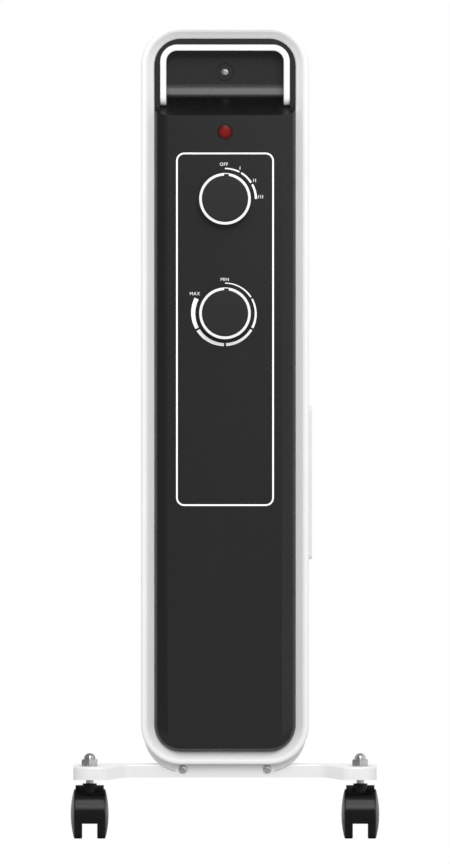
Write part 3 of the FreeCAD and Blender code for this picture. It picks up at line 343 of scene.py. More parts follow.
def black_moulding(name, tone, rough, grain, fine=2600, gloss=0.5):
    """Satin black plastic with a fine spark-eroded grain."""
    return surface(name, grey(tone), rough, ((22, 3), grey(tone * 0.93, 0.01), grey(tone * 1.07)),
                   ((140, 3), rough - 0.006, rough + 0.006),
                   [((fine, 2, 0.7), grain, 0.12), ((320, 2), 0.003, 0.03)], Specular_IOR_Level=gloss)


def plated(name, tone, rough, spots=0.12):
    """Plated or bare metal; spots is how much darker its dull places are."""
    dark = tuple(c * (1 - spots) for c in tone)
    return surface(name, tone, rough, ((240, 4), dark, tone), ((900, 4), rough * 0.75, rough * 1.3),
                   [((900, 3), 0.004, 0.15)], Metallic=1.0)


def red_lens():
    """Tinted clear plastic, dark until the lamp behind it is lit; a darker red ring round its middle, and
    painted shade of the gap round the lens at its edge.
    """
    finish = surface("red_lens", (0.19, 0.008, 0.008), 0.22, None, ((500, 3), 0.2, 0.25),
                     [((900, 2), 0.004, 0.15)], Specular_IOR_Level=0.1)
    flat = add(finish, "ShaderNodeVectorMath", operation="MULTIPLY")
    away = add(finish, "ShaderNodeVectorMath", operation="DISTANCE")
    scaled = add(finish, "ShaderNodeMath", operation="MULTIPLY")
    ramp = add(finish, "ShaderNodeValToRGB")
    flat.inputs[1].default_value = (1, 0, 1)
    away.inputs[1].default_value = (0, 0, middle("lamp_lens").z * MM)
    scaled.inputs[1].default_value = 100.0            # the ramp's 0 to 1 is 0 to 10 mm from the middle
    stops = ramp.color_ramp.elements
    # the near-black at the rim is painted shade, standing for the gap between the lens and its hole
    middle_red, painted_gap_shade = (0.20, 0.009, 0.009, 1), (0.012, 0.003, 0.003, 1)
    stops[0].color, stops[1].color = middle_red, painted_gap_shade
    for position, color in ((0.34, middle_red), (0.38, (0.095, 0.008, 0.008, 1)),
                            (0.52, (0.090, 0.008, 0.008, 1)), (0.57, painted_gap_shade)):
        stops.new(position).color = color
    shader = finish.node_tree.nodes["Principled BSDF"]
    for source, target in ((add(finish, "ShaderNodeTexCoord").outputs["Object"], flat.inputs[0]),
                           (flat.outputs[0], away.inputs[0]),
                           (away.outputs["Value"], scaled.inputs[0]),
                           (scaled.outputs[0], ramp.inputs["Fac"]),
                           (ramp.outputs["Color"], shader.inputs["Base Color"])):
        link(finish, source, target)
    return finish


# baked enamel on sheet steel, with faint orange peel
ENAMEL = surface("baked_enamel", grey(0.86), 0.28, ((9, 2), grey(0.85), grey(0.87, 0.003)),
                 ((60, 2), 0.275, 0.295), [((420, 2), 0.008, 0.08), ((1900, 2), 0.004, 0.08)],
                 Coat_Weight=0.25, Coat_Roughness=0.12)
WHITE = surface("white_moulding", grey(0.88), 0.3, ((14, 2), grey(0.87), grey(0.89, 0.003)),
                ((90, 3), 0.28, 0.33), [((1500, 3), 0.006, 0.15)])
BLACK = black_moulding("black_moulding", 0.004, 0.27, 0.006)
KNOB_BLACK = black_moulding("knob_moulding", 0.005, 0.31, 0.008)
GLOSS_BLACK = black_moulding("caster_moulding", 0.0025, 0.23, 0.004, 3200, 0.22)
# black nylon, a little scuffed
TREAD = surface("wheel_tread", grey(0.006), 0.34, ((260, 4), grey(0.005), grey(0.008)),
                ((500, 5), 0.28, 0.4), [((1200, 3), 0.01, 0.25)], Specular_IOR_Level=0.25)
RED = red_lens()
ZINC = plated("zinc_plate", grey(0.62, 0.01), 0.28)
CHROME = plated("chrome_plate", grey(0.55), 0.12, spots=0.04)
BRASS = plated("brass_blades", (0.72, 0.53, 0.22), 0.3)
# heat resistant plastic of the parts inside
GREY = surface("grey_moulding", grey(0.32, 0.01), 0.5, ((60, 3), grey(0.29, 0.01), grey(0.34, 0.01)),
               None, [((1700, 3), 0.02, 0.4)])
# white screen print; its faint glow (emission 0.2) is painted light that keeps the print white in the knobs'
# shade
GLOWING_PRINT = surface("screen_print", grey(0.95), 0.45, ((800, 3), grey(0.93), grey(0.96)), None,
                [((3000, 2), 0.004, 0.3)], Emission_Color=(1, 1, 1, 1), Emission_Strength=0.2)

# what the CAD nodes that keep their own solids are painted with, by slot
CAD_FINISH = {"white_enamel": ENAMEL, "white_plastic": WHITE, "black_plastic": BLACK, "black_tread": TREAD,
              "red_lens": RED, "zinc_steel": ZINC, "bright_chrome": CHROME, "grey_plastic": GREY,
              "brass": BRASS}
for node in frame["nodes"].values():
    for slot in node.material_slots:
        slot.material = CAD_FINISH[slot.material.name.split(".")[0]]


# ------------------------------------------------------------------ front frame
def front_frame():
    """White ring: rounded bead outside, then a border that slopes back to the cover."""
    half, low, high = FRAME_HIGH.x, FRAME_LOW.z, FRAME_HIGH.z
    front, back = FRAME_LOW.y, FRAME_HIGH.y
    bead, border = 4.7, 10.5          # from the outside to the bead's end and to the opening
    step, fall = 0.8, 5.6             # the border starts this far behind the bead and falls this much
    outer, inner = 1.9, 1.4           # radii of the bead's sides
    # inset from the outside and depth, from the back of the opening round to the back of the outside
    section = [(border, back), (border, front + step + fall + 0.3)]
    for k in range(7):
        u = 1 - k / 6
        section.append((bead + 0.35 + (border - bead - 0.45) * u,
                        front + step + 0.3 + (fall - 0.3) * (1 - (1 - u) ** 1.3)))
    section += [(bead + 0.05, front + step + 0.12), (bead - 0.1, front + step - 0.1)]
    section += [(x, front + y) for x, y in arc(bead - inner - 0.25, inner, inner, -25, -90, 5)]
    section += [(x, front + y) for x, y in arc(outer, outer, outer, -90, -180, 6)]
    section += [(0.0, back - 0.4), (0.4, back)]
    rings = [at_depth(y, outline(half - i, low + i, high - i, BODY_CORNER - i, steps=16))
             for i, y in section]
    place(hoop(rings), "frame_moulding", WHITE, HEATER, ["front_frame"], 30)


# ------------------------------------------------------------------ control cover
COVER_CORNER = 20.8
COVER_HALF = COVER_HIGH.x
FACE_HALF = 44.8
FACE_CORNER = 12.0
RIM = 2.4
RIM_DROP = 8.0              # the foot of the steep rim lies this far behind the main face
CREST = 3.4                 # and its rounded crest this far
FACE_RUN = 8.2              # width of the gentle slope from the crest to the face
FACE_BOTTOM = COVER_LOW.z + RIM + 1.6
HEAD_BOTTOM = FACE_TOP + 5.6
HEAD_DROP = 7.2             # the head's rim lies this far behind the main face
POCKET_RIM = 4.2
POCKET_HALF = COVER_HALF - POCKET_RIM
POCKET_TOP = COVER_HIGH.z - POCKET_RIM
POCKET_CORNER = 13.5
POCKET_WALL = 1.6
POCKET_SCREW_Z = middle("pocket_screw").z + 0.3
RAMP = math.tan(math.radians(30))
CREASE_Z = FACE_TOP + 14.3
CREASE = (CREASE_Z - FACE_TOP) / RAMP      # depth of the crease behind the face
WALL_BEND = 8.4
WALL_DEPTH = CREASE + WALL_BEND
WALL_FOOT = ((41.0, 0, 5), (20.0, 5, 13), (13.0, 13, 36))   # radius and turn of its arcs, from above
COVER_WALL = 2.5
RIM_RUN = 2.0               # width of the steep rim, with the round of its crest beyond it
RIM_ROUND = 0.4
RIM_LIFT = 4.0              # how far the rim's lower edge eases up at the bottom


def cover_outline(inset):
    return outline(COVER_HALF - inset, COVER_LOW.z + inset, COVER_HIGH.z - inset, COVER_CORNER - inset,
                   steps=14)


def pocket_loops(grow, start=-2.0):
    """The hand pocket's room from a depth behind the face: ramp, crease, bend and upright back wall."""
    stations = [(start, FACE_TOP + start * RAMP), (CREASE, CREASE_Z)]
    # from the crease's foot up to the wall, each arc tangent to the next
    bend, depth, z = [], WALL_DEPTH, 0.0
    for radius, start_turn, end_turn in WALL_FOOT:
        points = arc(depth - radius * math.cos(math.radians(start_turn)),
                     z + radius * math.sin(math.radians(start_turn)), radius, -start_turn, -end_turn, 5)
        bend += points[1:] if bend else points
        depth, z = points[-1]
    stations += [(depth, CREASE_Z + height - z) for depth, height in reversed(bend)]
    rings = []
    for depth, z in stations:
        plan = outline(POCKET_HALF + grow, z - grow, POCKET_TOP + grow, POCKET_CORNER + grow, foot=0.6)
        rings.append(at_depth(FACE_Y + depth + (grow if depth == stations[-1][0] else 0), plan))
    return rings


def raised_loop(depth, above):
    """The raised panel's outline at a depth behind its face: steep rim, rounded crest, gentle sides."""
    rise = min(RIM_DROP, max(0.0, RIM_DROP - depth))
    wall = RIM_DROP - CREST
    if depth > CREST:
        side = RIM_RUN * rise / wall + RIM_ROUND * max(0.0, (rise / wall - 0.8) / 0.2) ** 2
    else:
        side = RIM + (CREST - depth) / CREST * FACE_RUN
    foot = RIM_LIFT * (1 - math.sqrt(max(0.0, 1 - (rise / RIM_DROP) ** 2)))
    corner = FACE_CORNER + (COVER_CORNER - FACE_CORNER) * (1 - side / (RIM + FACE_RUN))
    return at_depth(FACE_Y + depth, outline(COVER_HALF - side, COVER_LOW.z + foot, above, corner, steps=14))


def control_cover():
    """Skirt, raised face and head, less the room inside, the pocket and the holes."""
    back = LIP_Y
    rim_y = FACE_Y + RIM_DROP
    piece = solid([at_depth(back, cover_outline(0)), at_depth(rim_y, cover_outline(0))])
    above = FACE_TOP + 40
    raised = solid([raised_loop(depth, above) for depth in (
        10.0, 8.0, 7.4, 6.8, 6.2, 5.6, 5.0, 4.5, 4.1, 3.8, 3.55, 3.36, 3.28,
        3.0, 2.6, 2.2, 1.7, 1.2, 0.8, 0.45, 0.2, 0.06, 0.0)])
    # the panel stops at the ramp: what lies above it goes
    deep = RIM_DROP + 0.15
    profile = [(FACE_Y - 2, FACE_TOP - 2 * RAMP), (FACE_Y + deep, FACE_TOP + deep * RAMP),
               (FACE_Y + deep, above + 30), (FACE_Y - 2, above + 30)]
    combine(raised, "DIFFERENCE", solid([along_x(x, profile) for x in (-60, 60)]))
    head = solid([
        at_depth(FACE_Y + depth, outline(COVER_HALF, low, COVER_HIGH.z, COVER_CORNER, foot=0.8, steps=14))
        for depth, low in ((back - 0.5 - FACE_Y, HEAD_BOTTOM), (RIM_DROP + 0.1, HEAD_BOTTOM),
                           (HEAD_DROP + 0.3, HEAD_BOTTOM + 0.5), (HEAD_DROP, HEAD_BOTTOM + 1.3))])
    combine(piece, "UNION", raised, head, solid(pocket_loops(POCKET_WALL, RIM_DROP + 0.2)))
    hollow = solid([
        at_depth(back + 1, cover_outline(RIM)),
        at_depth(rim_y + COVER_WALL, cover_outline(RIM)),
        at_depth(FACE_Y + CREST + COVER_WALL, cover_outline(RIM + COVER_WALL)),
        at_depth(FACE_Y + COVER_WALL, outline(FACE_HALF - 1.2, FACE_BOTTOM + COVER_WALL,
                                              COVER_HIGH.z - 6, FACE_CORNER - 2, steps=14))])
    combine(hollow, "INTERSECT", block((-70, FACE_Y - 1, 60), (70, back + 2, FACE_TOP - 5.0)))
    pocket = solid(pocket_loops(0))
    lamp_hole = spun([(0, -3), (5.95, -3), (5.95, 6), (0, 6)], (0, FACE_Y, middle("lamp_lens").z), ALONG_Y,
                     48)
    dimple = spun([(0, -3), (6.9, -3), (6.9, 0), (6.75, 0.4), (6.4, 0.6), (0, 0.6)],
                  (0, FACE_Y + WALL_DEPTH, POCKET_SCREW_Z), ALONG_Y, 48)
    combine(piece, "DIFFERENCE", hollow, pocket, lamp_hole, dimple)
    soften(piece, 0.4, 3, 30)
    place(piece, "cover_moulding", BLACK, HEATER, ["control_cover"], 20)


def handle_strip():
    """White strip round the pocket: its legs round off backwards and stand on the ramp."""
    half, top, corner, thick = STRIP_HIGH.x, STRIP_HIGH.z, 13.35, 4.85
    front, back, gap = FACE_Y + HEAD_DROP - 0.6, FACE_Y + WALL_DEPTH - 0.2, 0.2
    edge, bend, foot = 0.8, 7.0, FACE_TOP + 7.9
    landing = FACE_Y + 7.8 / RAMP
    # across the strip: distance from its outer side, and how far the front edge is rounded back there
    section = arc(edge, edge, edge, 180, 270, 4) + arc(thick - edge, edge, edge, 270, 360, 4)
    spring = top - corner
    skin = Skin()
    for side in (-1, 1):
        rings = []
        for inset, ease in section:
            profile = [(front + ease, spring), (front + ease, (spring + foot + bend) / 2)]
            for t in quarter(12):
                profile.append((landing - (landing - front - ease) * math.cos(t),
                                foot + bend - (bend - ease * 0.5) * math.sin(t)))
            profile += [(FACE_Y + y, z) for y, z in
                        [(CREASE - 0.6, CREASE_Z - 0.6 * RAMP + gap)]
                        + arc(CREASE, CREASE_Z + WALL_BEND, WALL_BEND - gap, -90, 0, 6)]
            profile.append((back, spring))
            rings.append(along_x(side * (half - inset), profile))
            rings[-1][-1] = (side * (half - inset * 0.9), back, spring)
        skin.grid(rings)
        for cheek in (rings[0], rings[-1]):
            skin.faces.append(tuple(range(len(skin.points), len(skin.points) + len(cheek))))
            skin.points += cheek
    turns = quarter(16)
    skin.loops([[(side * (half - corner + (corner - inset) * math.cos(turn)), front + ease,
                  spring + (corner - inset) * math.sin(turn))
                 for inset, ease in section + [(inset * 0.9, back - front) for inset, _ in reversed(section)]]
                for side, turn in [(1, t) for t in turns] + [(-1, t) for t in reversed(turns)]])
    place(skin.object(), "handle_trim", WHITE, HEATER, ["handle_strip"], 40)


# ------------------------------------------------------------------ print on the cover
PRINT_T = 0.06
LETTER_H, CAPITAL = 2.6, 0.72
SCALE_R = 23.4              # inner radius of the dials' scales


def print_strip(name, points_out, points_in, closed=False):
    """A thin printed band between two rows of (x, z) points on the cover's face."""
    back, front = FACE_Y + 0.05, FACE_Y - PRINT_T
    rings = [[(ox, back, oz), (ox, front, oz), (ix, front, iz), (ix, back, iz)]
             for (ox, oz), (ix, iz) in zip(points_out, points_in)]
    place(hoop(rings) if closed else solid(rings), name, GLOWING_PRINT, HEATER, angle=20)


def dial_arc(name, centre, start, end, outer_start, outer_end):
    """A printed arc that widens along its way; angles run clockwise from the top."""
    out, into = [], []
    steps = max(6, int((end - start) / 3))
    for i in range(steps + 1):
        share = i / steps
        angle = math.radians(start + (end - start) * share)
        outer = outer_start + (outer_end - outer_start) * share
        out.append((centre.x + outer * math.sin(angle), centre.z + outer * math.cos(angle)))
        into.append((centre.x + SCALE_R * math.sin(angle), centre.z + SCALE_R * math.cos(angle)))
    print_strip(name, out, into)


def label(name, text, x, z):
    """A printed word; CAPITAL is the share of a letter's size that its capitals fill."""
    curve = bpy.data.curves.new(name, "FONT")
    curve.body, curve.align_x, curve.align_y = text, "CENTER", "CENTER"
    curve.size, curve.extrude = LETTER_H * MM / CAPITAL, PRINT_T * MM
    curve.space_character = 1.1
    made = put(name, curve)
    made.rotation_euler = (math.pi / 2, 0, 0)
    made.location = Vector((x, FACE_Y, z)) * MM
    mesh = evaluated(made)
    mesh.transform(made.matrix_world)
    bpy.data.objects.remove(made)
    place(put(name, mesh), name, GLOWING_PRINT, HEATER, angle=0)


def numeral(count, x, z):
    """The upright strokes of I, II or III, each a printed bar."""
    half, pitch, tall = 0.22, 1.6, 1.3
    for i in range(count):
        left = x + (i - (count - 1) / 2) * pitch - half
        corners = [(left, z - tall), (left, z + tall)]
        print_strip(f"print_step_{count}_{i + 1}", corners, [(a + 2 * half, b) for a, b in corners])


def panel_print():
    half, bottom, top, corner, line = 38.5, 261.8, 539.9, 6.5, 1.3
    print_strip("print_border", outline(half, bottom, top, corner),
                outline(half - line, bottom + line, top - line, corner - line), closed=True)
    power, warm = middle("power_knob"), middle("thermostat_knob")
    for dial, centre, outer, growth, spans in (
            ("power", power, 24.4, 0.9, ((0, 28), (32, 58), (62, 90))),
            ("warmth", warm, 24.1, 2.8, ((0, 58), (62, 118), (122, 178), (182, 238), (242, 297.5)))):
        for i, (start, end) in enumerate(spans):
            ends = [outer + growth * angle / spans[-1][1] for angle in (start, end)]
            dial_arc(f"print_{dial}_arc_{i + 1}", centre, start, end, *ends)
    for count, x, up in ((1, 11.8, 24.2), (2, 23.3, 14.6), (3, 28.1, 1.7)):
        numeral(count, power.x + x, power.z + up)
    label("print_off", "OFF", power.x - 0.9, power.z + 27.1)
    label("print_min", "MIN", warm.x - 0.2, warm.z + 26.6)
    label("print_max", "MAX", warm.x - 23.8, warm.z + 15.4)


# ------------------------------------------------------------------ lamp, knobs and screws
def lamp():
    low, high = span("lamp_lens")
    front = low.y - FACE_Y
    profile = [(0, front), (3.0, front), (3.4, front + 0.15), (3.6, front + 0.45), (5.0, front + 0.75)]
    profile += [(5.5, front + 0.95), (5.7, front + 1.35), (5.7, 2.5), (0, 2.5)]
    piece = spun(profile, (0, FACE_Y, (low.z + high.z) / 2), ALONG_Y)
    place(piece, "lamp_window", RED, HEATER, ["lamp_lens"])


def knob(which, body):
    """A dial and the ring pressed on its rim, with the pointer's notch cut in the ring."""
    low, high = span(f"{which}_knob")
    ring_low, ring_high = span(f"{which}_knob_ring")
    centre = (low + high) / 2
    radius = (high.x - low.x) / 2
    front, back = ring_low.y, high.y
    inner_r = (ring_high.x - ring_low.x) / 2 - 2.2
    profile = [(0, front + 0.55), (inner_r - 1.2, front + 0.55), (inner_r - 0.5, front + 0.6),
               (inner_r - 0.2, front + 1.2), (radius - 0.25, front + 1.2), (radius - 0.02, front + 1.4)]
    profile += [(radius, front + 2.2), (radius, back - 1.0), (radius - 0.3, back - 0.2), (radius - 0.8, back)]
    profile += [(9.8, back), (9.6, back - 3.2), (0, back - 3.2)]
    grip = spun(profile, (centre.x, 0, centre.z), ALONG_Y, 96)
    place(grip, f"{which}_grip", KNOB_BLACK, body, [f"{which}_knob"])

    profile = [(inner_r, front + 1.19), (inner_r, front + 0.2), (inner_r + 0.15, front),
               (radius - 0.5, front), (radius - 0.15, front + 0.12), (radius - 0.02, front + 0.5),
               (radius - 0.02, front + 1.19)]
    ring = hoop(turned(profile, (centre.x, 0, centre.z), ALONG_Y, 128))
    width, depth, turn = 3.7, 1.45, math.radians(3.5)
    notch = solid([at_depth(y, outline(width / 2, inner_r - 2, inner_r + depth, 0.25))
                   for y in (front - 1, front + 2)])
    notch.data.transform(Matrix.Rotation(turn, 4, "Y"))
    move(notch, centre.x, 0, centre.z)
    combine(ring, "DIFFERENCE", notch)
    place(ring, f"{which}_ring", WHITE, body, [f"{which}_knob_ring"])


def pan_head(seat, direction, radius, height, shank_r, shank_l, turn=20):
    """Cross recessed pan head screw; direction runs along the shank."""
    profile = [(0, -height)]
    profile += [(radius * math.sin(t), -height * (0.28 + 0.72 * math.cos(t))) for t in quarter(8)[1:]]
    profile += [(radius, -0.1), (radius - 0.1, 0), (shank_r, 0), (shank_r, shank_l - 1), (0, shank_l)]
    screw = spun(profile, seat, direction, 40)
    axis, across = Vector(direction), Vector(ALONG_X)
    up = axis.cross(across)
    # the cross: two tapering slots; reach and half width are shares of the head's radius
    for slot in (0, 1):
        angle = math.radians(turn + 90 * slot)
        along = across * math.cos(angle) + up * math.sin(angle)
        side = axis.cross(along)
        rings = []
        for depth, reach, half in ((-height - 0.5, 0.66, 0.17), (-height * 0.3 - 0.03 * slot, 0.22, 0.13)):
            rings.append([Vector(seat) + axis * depth + along * (radius * a) + side * (radius * b)
                          for a, b in ((reach, half), (-reach, half), (-reach, -half), (reach, -half))])
        combine(screw, "DIFFERENCE", solid(rings))
    return screw


def screws():
    seat = (0, FACE_Y + WALL_DEPTH + 0.9, POCKET_SCREW_Z)
    place(pan_head(seat, ALONG_Y, 3.15, 2.1, 1.9, 12), "pocket_pan_screw", ZINC, HEATER,
          ["pocket_screw"])
    low, high = span("bracket_screws")
    z = (low.z + high.z) / 2
    four = [pan_head((side * TONGUE_SCREW_X, y, z), (0, way, 0), 3.4, 1.8, 1.45, 9, turn)
            for side, y, way, turn in ((-1, low.y + 1.8, 1, 38), (1, low.y + 1.8, 1, 12),
                                       (-1, high.y - 1.8, -1, 65), (1, high.y - 1.8, -1, 32))]
    place(combine(four[0], "UNION", *four[1:]), "bracket_pan_screws", ZINC, HEATER,
          ["bracket_screws"])


# ------------------------------------------------------------------ housing, side plate and fins
def rounded_slot(x_low, x_high, y, z_low, z_high, width):
    r = width / 2
    ends = arc(0, z_high - r, r, 0, 180, 8) + arc(0, z_low + r, r, 180, 360, 8)
    return solid([along_x(x, [(y + dy, z) for dy, z in ends]) for x in (x_low, x_high)])


def housing():
    """Sheet metal box with a window for the cover and five vents in each side."""
    half, low, high = HOUSING_HIGH.x, HOUSING_LOW.z, HOUSING_HIGH.z
    front, back = HOUSING_LOW.y, HOUSING_HIGH.y
    sheet, edge = 1.2, 1.6
    vents, pitch, vent_low, vent_high, vent_w = 5, 9.0, 68, 102, 3.0

    def shell(inset, y):
        return at_depth(y, outline(half - inset, low + inset, high - inset, BODY_CORNER - inset, steps=16))

    def window(y):
        return at_depth(y, outline(54.4, COVER_LOW.z + 1, COVER_HIGH.z - 1, 19.8, steps=16))

    rings = [window(front + sheet), window(front)]
    rings += [shell(i, front + y) for i, y in arc(edge, edge, edge, 270, 180, 5)]
    rings += [shell(0, back - 0.5), shell(0.3, back), shell(sheet, back), shell(sheet, front + sheet)]
    piece = hoop(rings)
    for i in range(vents):
        y = (front + back) / 2 + (i - vents // 2) * pitch
        for x in (-half - 2, half - 4):
            vent = rounded_slot(x, x + 6, y, low + vent_low, low + vent_high, vent_w)
            combine(piece, "DIFFERENCE", vent)
    place(piece, "housing_shell", ENAMEL, HEATER, ["housing"], 30)


def side_plate():
    """Plate on the right side, with a rounded edge and a shallow field."""
    low, high = span("side_plate")
    y, half_y = (low.y + high.y) / 2, (high.y - low.y) / 2
    edge, corner = 1.2, 4.0

    def ring(x, inset):
        plan = outline(half_y - inset, low.z + inset, high.z - inset, corner - inset)
        return along_x(x, [(y + a, b) for a, b in plan])

    rings = [ring(low.x, 0)]
    rings += [ring(high.x - edge + edge * math.sin(t), edge * (1 - math.cos(t)))
              for t in quarter(5)]
    rings += [ring(high.x, 3.4), ring(high.x - 0.35, 3.8), ring(high.x - 0.35, 3.95)]
    place(solid(rings), "side_cover_plate", WHITE, HEATER, ["side_plate"])


FINS = 5
SEAM = 1.0                  # half the thickness of the seam round a fin
PAN = 7.0                   # half the thickness of its oil channels
HUB = 22.0
HUB_RISE = 54.0             # of a hub's middle, from the fin's end
WEB_RISE = 46.0             # of the flat web's end, from there


def fin_side(sign, body_low, body_high):
    """Loops of one pressed half, from the seam's edge to the flat web in the middle."""
    web_low, web_high = body_low + HUB_RISE + WEB_RISE, body_high - HUB_RISE - WEB_RISE

    def shell(inset, corner, depth):
        plan = outline(BODY_HALF - inset, body_low + inset, body_high - inset, corner, steps=12)
        return at_depth(sign * depth, plan)

    def web(grow, depth):
        plan = outline(13 + grow, web_low - grow, web_high + grow, 10 + grow, steps=12)
        return at_depth(sign * depth, plan)

    rings = [shell(0, BODY_CORNER, 0), shell(0.25, BODY_CORNER - 0.25, SEAM * 0.7),
             shell(0.9, BODY_CORNER - 0.9, SEAM)]
    rings += [shell(10.6, 22.6, SEAM), shell(11.4, 22, SEAM + 0.25), shell(12.2, 21.4, SEAM + 1.1)]
    rings += [shell(14.2, 19.8, PAN - 1.6), shell(15.2, 19.0, PAN - 0.45), shell(16.6, 18, PAN)]
    rings += [web(5.6, PAN), web(4.2, PAN - 0.45), web(3.2, PAN - 1.6), web(1.2, SEAM + 1.1),
              web(0.4, SEAM + 0.25), web(-0.4, SEAM)]
    return rings


def fin(index):
    """Two pressed halves and the hubs that reach forwards; the last fin's hubs are closed by caps."""
    low, high = span(f"fin_{index}")
    cap_h = 3.0 if index == FINS else 0.0
    y = high.y - PAN - cap_h
    skin = Skin()
    bottom, top = HOUSING_LOW.z, HOUSING_HIGH.z
    for sign in (-1, 1):
        skin.loops(fin_side(sign, bottom, top), last=True)
    front = -19.0 if index == 1 else low.y - y
    for z in (bottom + HUB_RISE, top - HUB_RISE):
        profile = [(HUB + 4.0, -PAN), (HUB + 1.6, -PAN - 0.5), (HUB + 0.5, -PAN - 1.6), (HUB, -PAN - 3.2),
                   (HUB, front + 0.6), (HUB - 0.5, front), (HUB - 1.6, front), (HUB - 1.6, -PAN)]
        skin.loops(turned(profile, (0, 0, z), ALONG_Y, 56), wrap=True)
        if cap_h:
            cap = [(0, PAN), (HUB + 4.0, PAN), (HUB + 1.4, PAN + 0.35), (HUB + 0.2, PAN + 1.2),
                   (HUB - 0.6, PAN + 2.3), (HUB - 2.2, PAN + cap_h), (0, PAN + cap_h)]
            skin.loops(turned(cap, (0, 0, z), ALONG_Y, 56))
    piece = skin.object()
    move(piece, 0, y, 0)
    place(piece, f"pressed_fin_{index}", ENAMEL, HEATER, [f"fin_{index}"], 32)


# ------------------------------------------------------------------ nuts, brackets
def hex_radius(flats, turn):
    """Bends a turned profile to a hexagon; what lies inside its flats stays round."""
    def shape(radius, angle):
        local = (angle + turn) % (math.pi / 3) - math.pi / 6
        return min(radius, flats / 2 / math.cos(local))
    return shape


def dome_nuts():
    base = span("dome_nuts")[0].z
    across, hex_h, dome_r = 12.2, 6.1, 4.6
    point_r = across / math.sqrt(3)
    nuts = []
    for name in CASTERS:
        profile = [(3.05, 0), (point_r - 0.9, 0), (point_r + 0.4, 0.8), (point_r + 0.4, hex_h - 1.4),
                   (across / 2 + 0.1, hex_h - 0.45), (dome_r + 0.35, hex_h)]
        profile += [(dome_r * math.cos(t), hex_h + 0.1 + (dome_r - 0.1) * math.sin(t)) for t in quarter(10)]
        rings = turned(profile, (middle(f"hood_{name}").x, stem_axis(name), base), ALONG_Z, 96,
                       hex_radius(across, math.radians(34)))
        nuts.append(Skin().loops(rings, first=True).object())
    piece = combine(nuts[0], "UNION", *nuts[1:])
    place(piece, "cap_nuts", CHROME, HEATER, ["dome_nuts"], 25)


def stem_axis(name):
    """Depth of a caster's swivel axis."""
    joint = next(j for j in frame["joints"] if j["name"] == f"swivel_{name}")
    return joint["pos_m"][1] / MM


def corner_points(before, corner, after, radius, steps):
    """Points on the arc that rounds a corner of a plan."""
    before, corner, after = Vector(before), Vector(corner), Vector(after)
    one, two = (before - corner).normalized(), (after - corner).normalized()
    half = one.angle(two) / 2
    centre = corner + (one + two).normalized() * (radius / math.sin(half))
    start, end = corner + one * (radius / math.tan(half)), corner + two * (radius / math.tan(half))
    a, b = start - centre, end - centre
    sweep = a.angle_signed(b)
    points = []
    for i in range(steps + 1):
        turn = -sweep * i / steps
        points.append(centre + Vector((a.x * math.cos(turn) - a.y * math.sin(turn),
                                       a.x * math.sin(turn) + a.y * math.cos(turn))))
    return points


BRACKET_T = 1.5
BRACKET_DEPTH = 24.0
BRACKET_REACH = 14.0        # of the arms in front of the flange
BRACKET_FIT = 0.3           # between the bracket and the body in it
BRACKET_REAR_Z = 59.3       # top of the straight rear edge
NUT_FLAT_Z, NUT_FLAT_R = 56.7, 11.5


def eased(value):
    value = max(0.0, min(1.0, value))
    return value * value * (3 - 2 * value)


def bracket_plan():
    """Plan of a bracket: pairs of front and rear points from left to right; the flange plane is at y 0."""
    end, start, arm, rear_r = 119.5, 95.0, 77.0, 8.0
    reach = -BRACKET_REACH
    front = [Vector((x, 0.0)) for x in (0, 13, 26, 39, 52, 64)]
    front += corner_points((0, 0), (arm, 0), (start, reach), 12.0, 8)
    front += corner_points((arm, 0), (start, reach), (end, reach), 12.0, 8)
    front += [Vector((front[-1].x + (end - 13 - front[-1].x) * k / 4, reach)) for k in (1, 2, 3)]
    front += corner_points((start, reach), (end, reach), (end, BRACKET_DEPTH), 13.0, 16)
    pairs = []
    for p in front:
        turn = math.asin(min(1.0, max(0.0, (p.x - (end - rear_r)) / rear_r)))
        pairs.append((p, Vector((p.x, BRACKET_DEPTH - rear_r * (1 - math.cos(turn))))))
    return [(Vector((-a.x, a.y)), Vector((-b.x, b.y))) for a, b in reversed(pairs[1:])] + pairs


def inset_loop(loop, inset):
    """Moves a closed plan inwards."""
    moved = []
    for i, p in enumerate(loop):
        along = (loop[(i + 1) % len(loop)] - loop[i - 1]).normalized()
        moved.append(p + Vector((-along.y, along.x)) * inset)
    return moved


def front_edge(x):
    """Height of the bracket's top along its front edge: the tabs dip."""
    return 56.5 + 2.1 * eased((96.0 - abs(x)) / 20.0)


def bracket_top(x, y):
    """Height of the bracket's top: ruled from the dipping front edge to a straight rear edge, with flats
    pressed in for the nuts."""
    edge = front_edge(x)
    height = edge + (BRACKET_REAR_Z - edge) * (y + BRACKET_REACH) / (BRACKET_REACH + BRACKET_DEPTH)
    away = math.hypot(abs(x) - TAB_X, y - TAB_Y)
    return height + (NUT_FLAT_Z - height) * eased((NUT_FLAT_R - away) / 3.5)


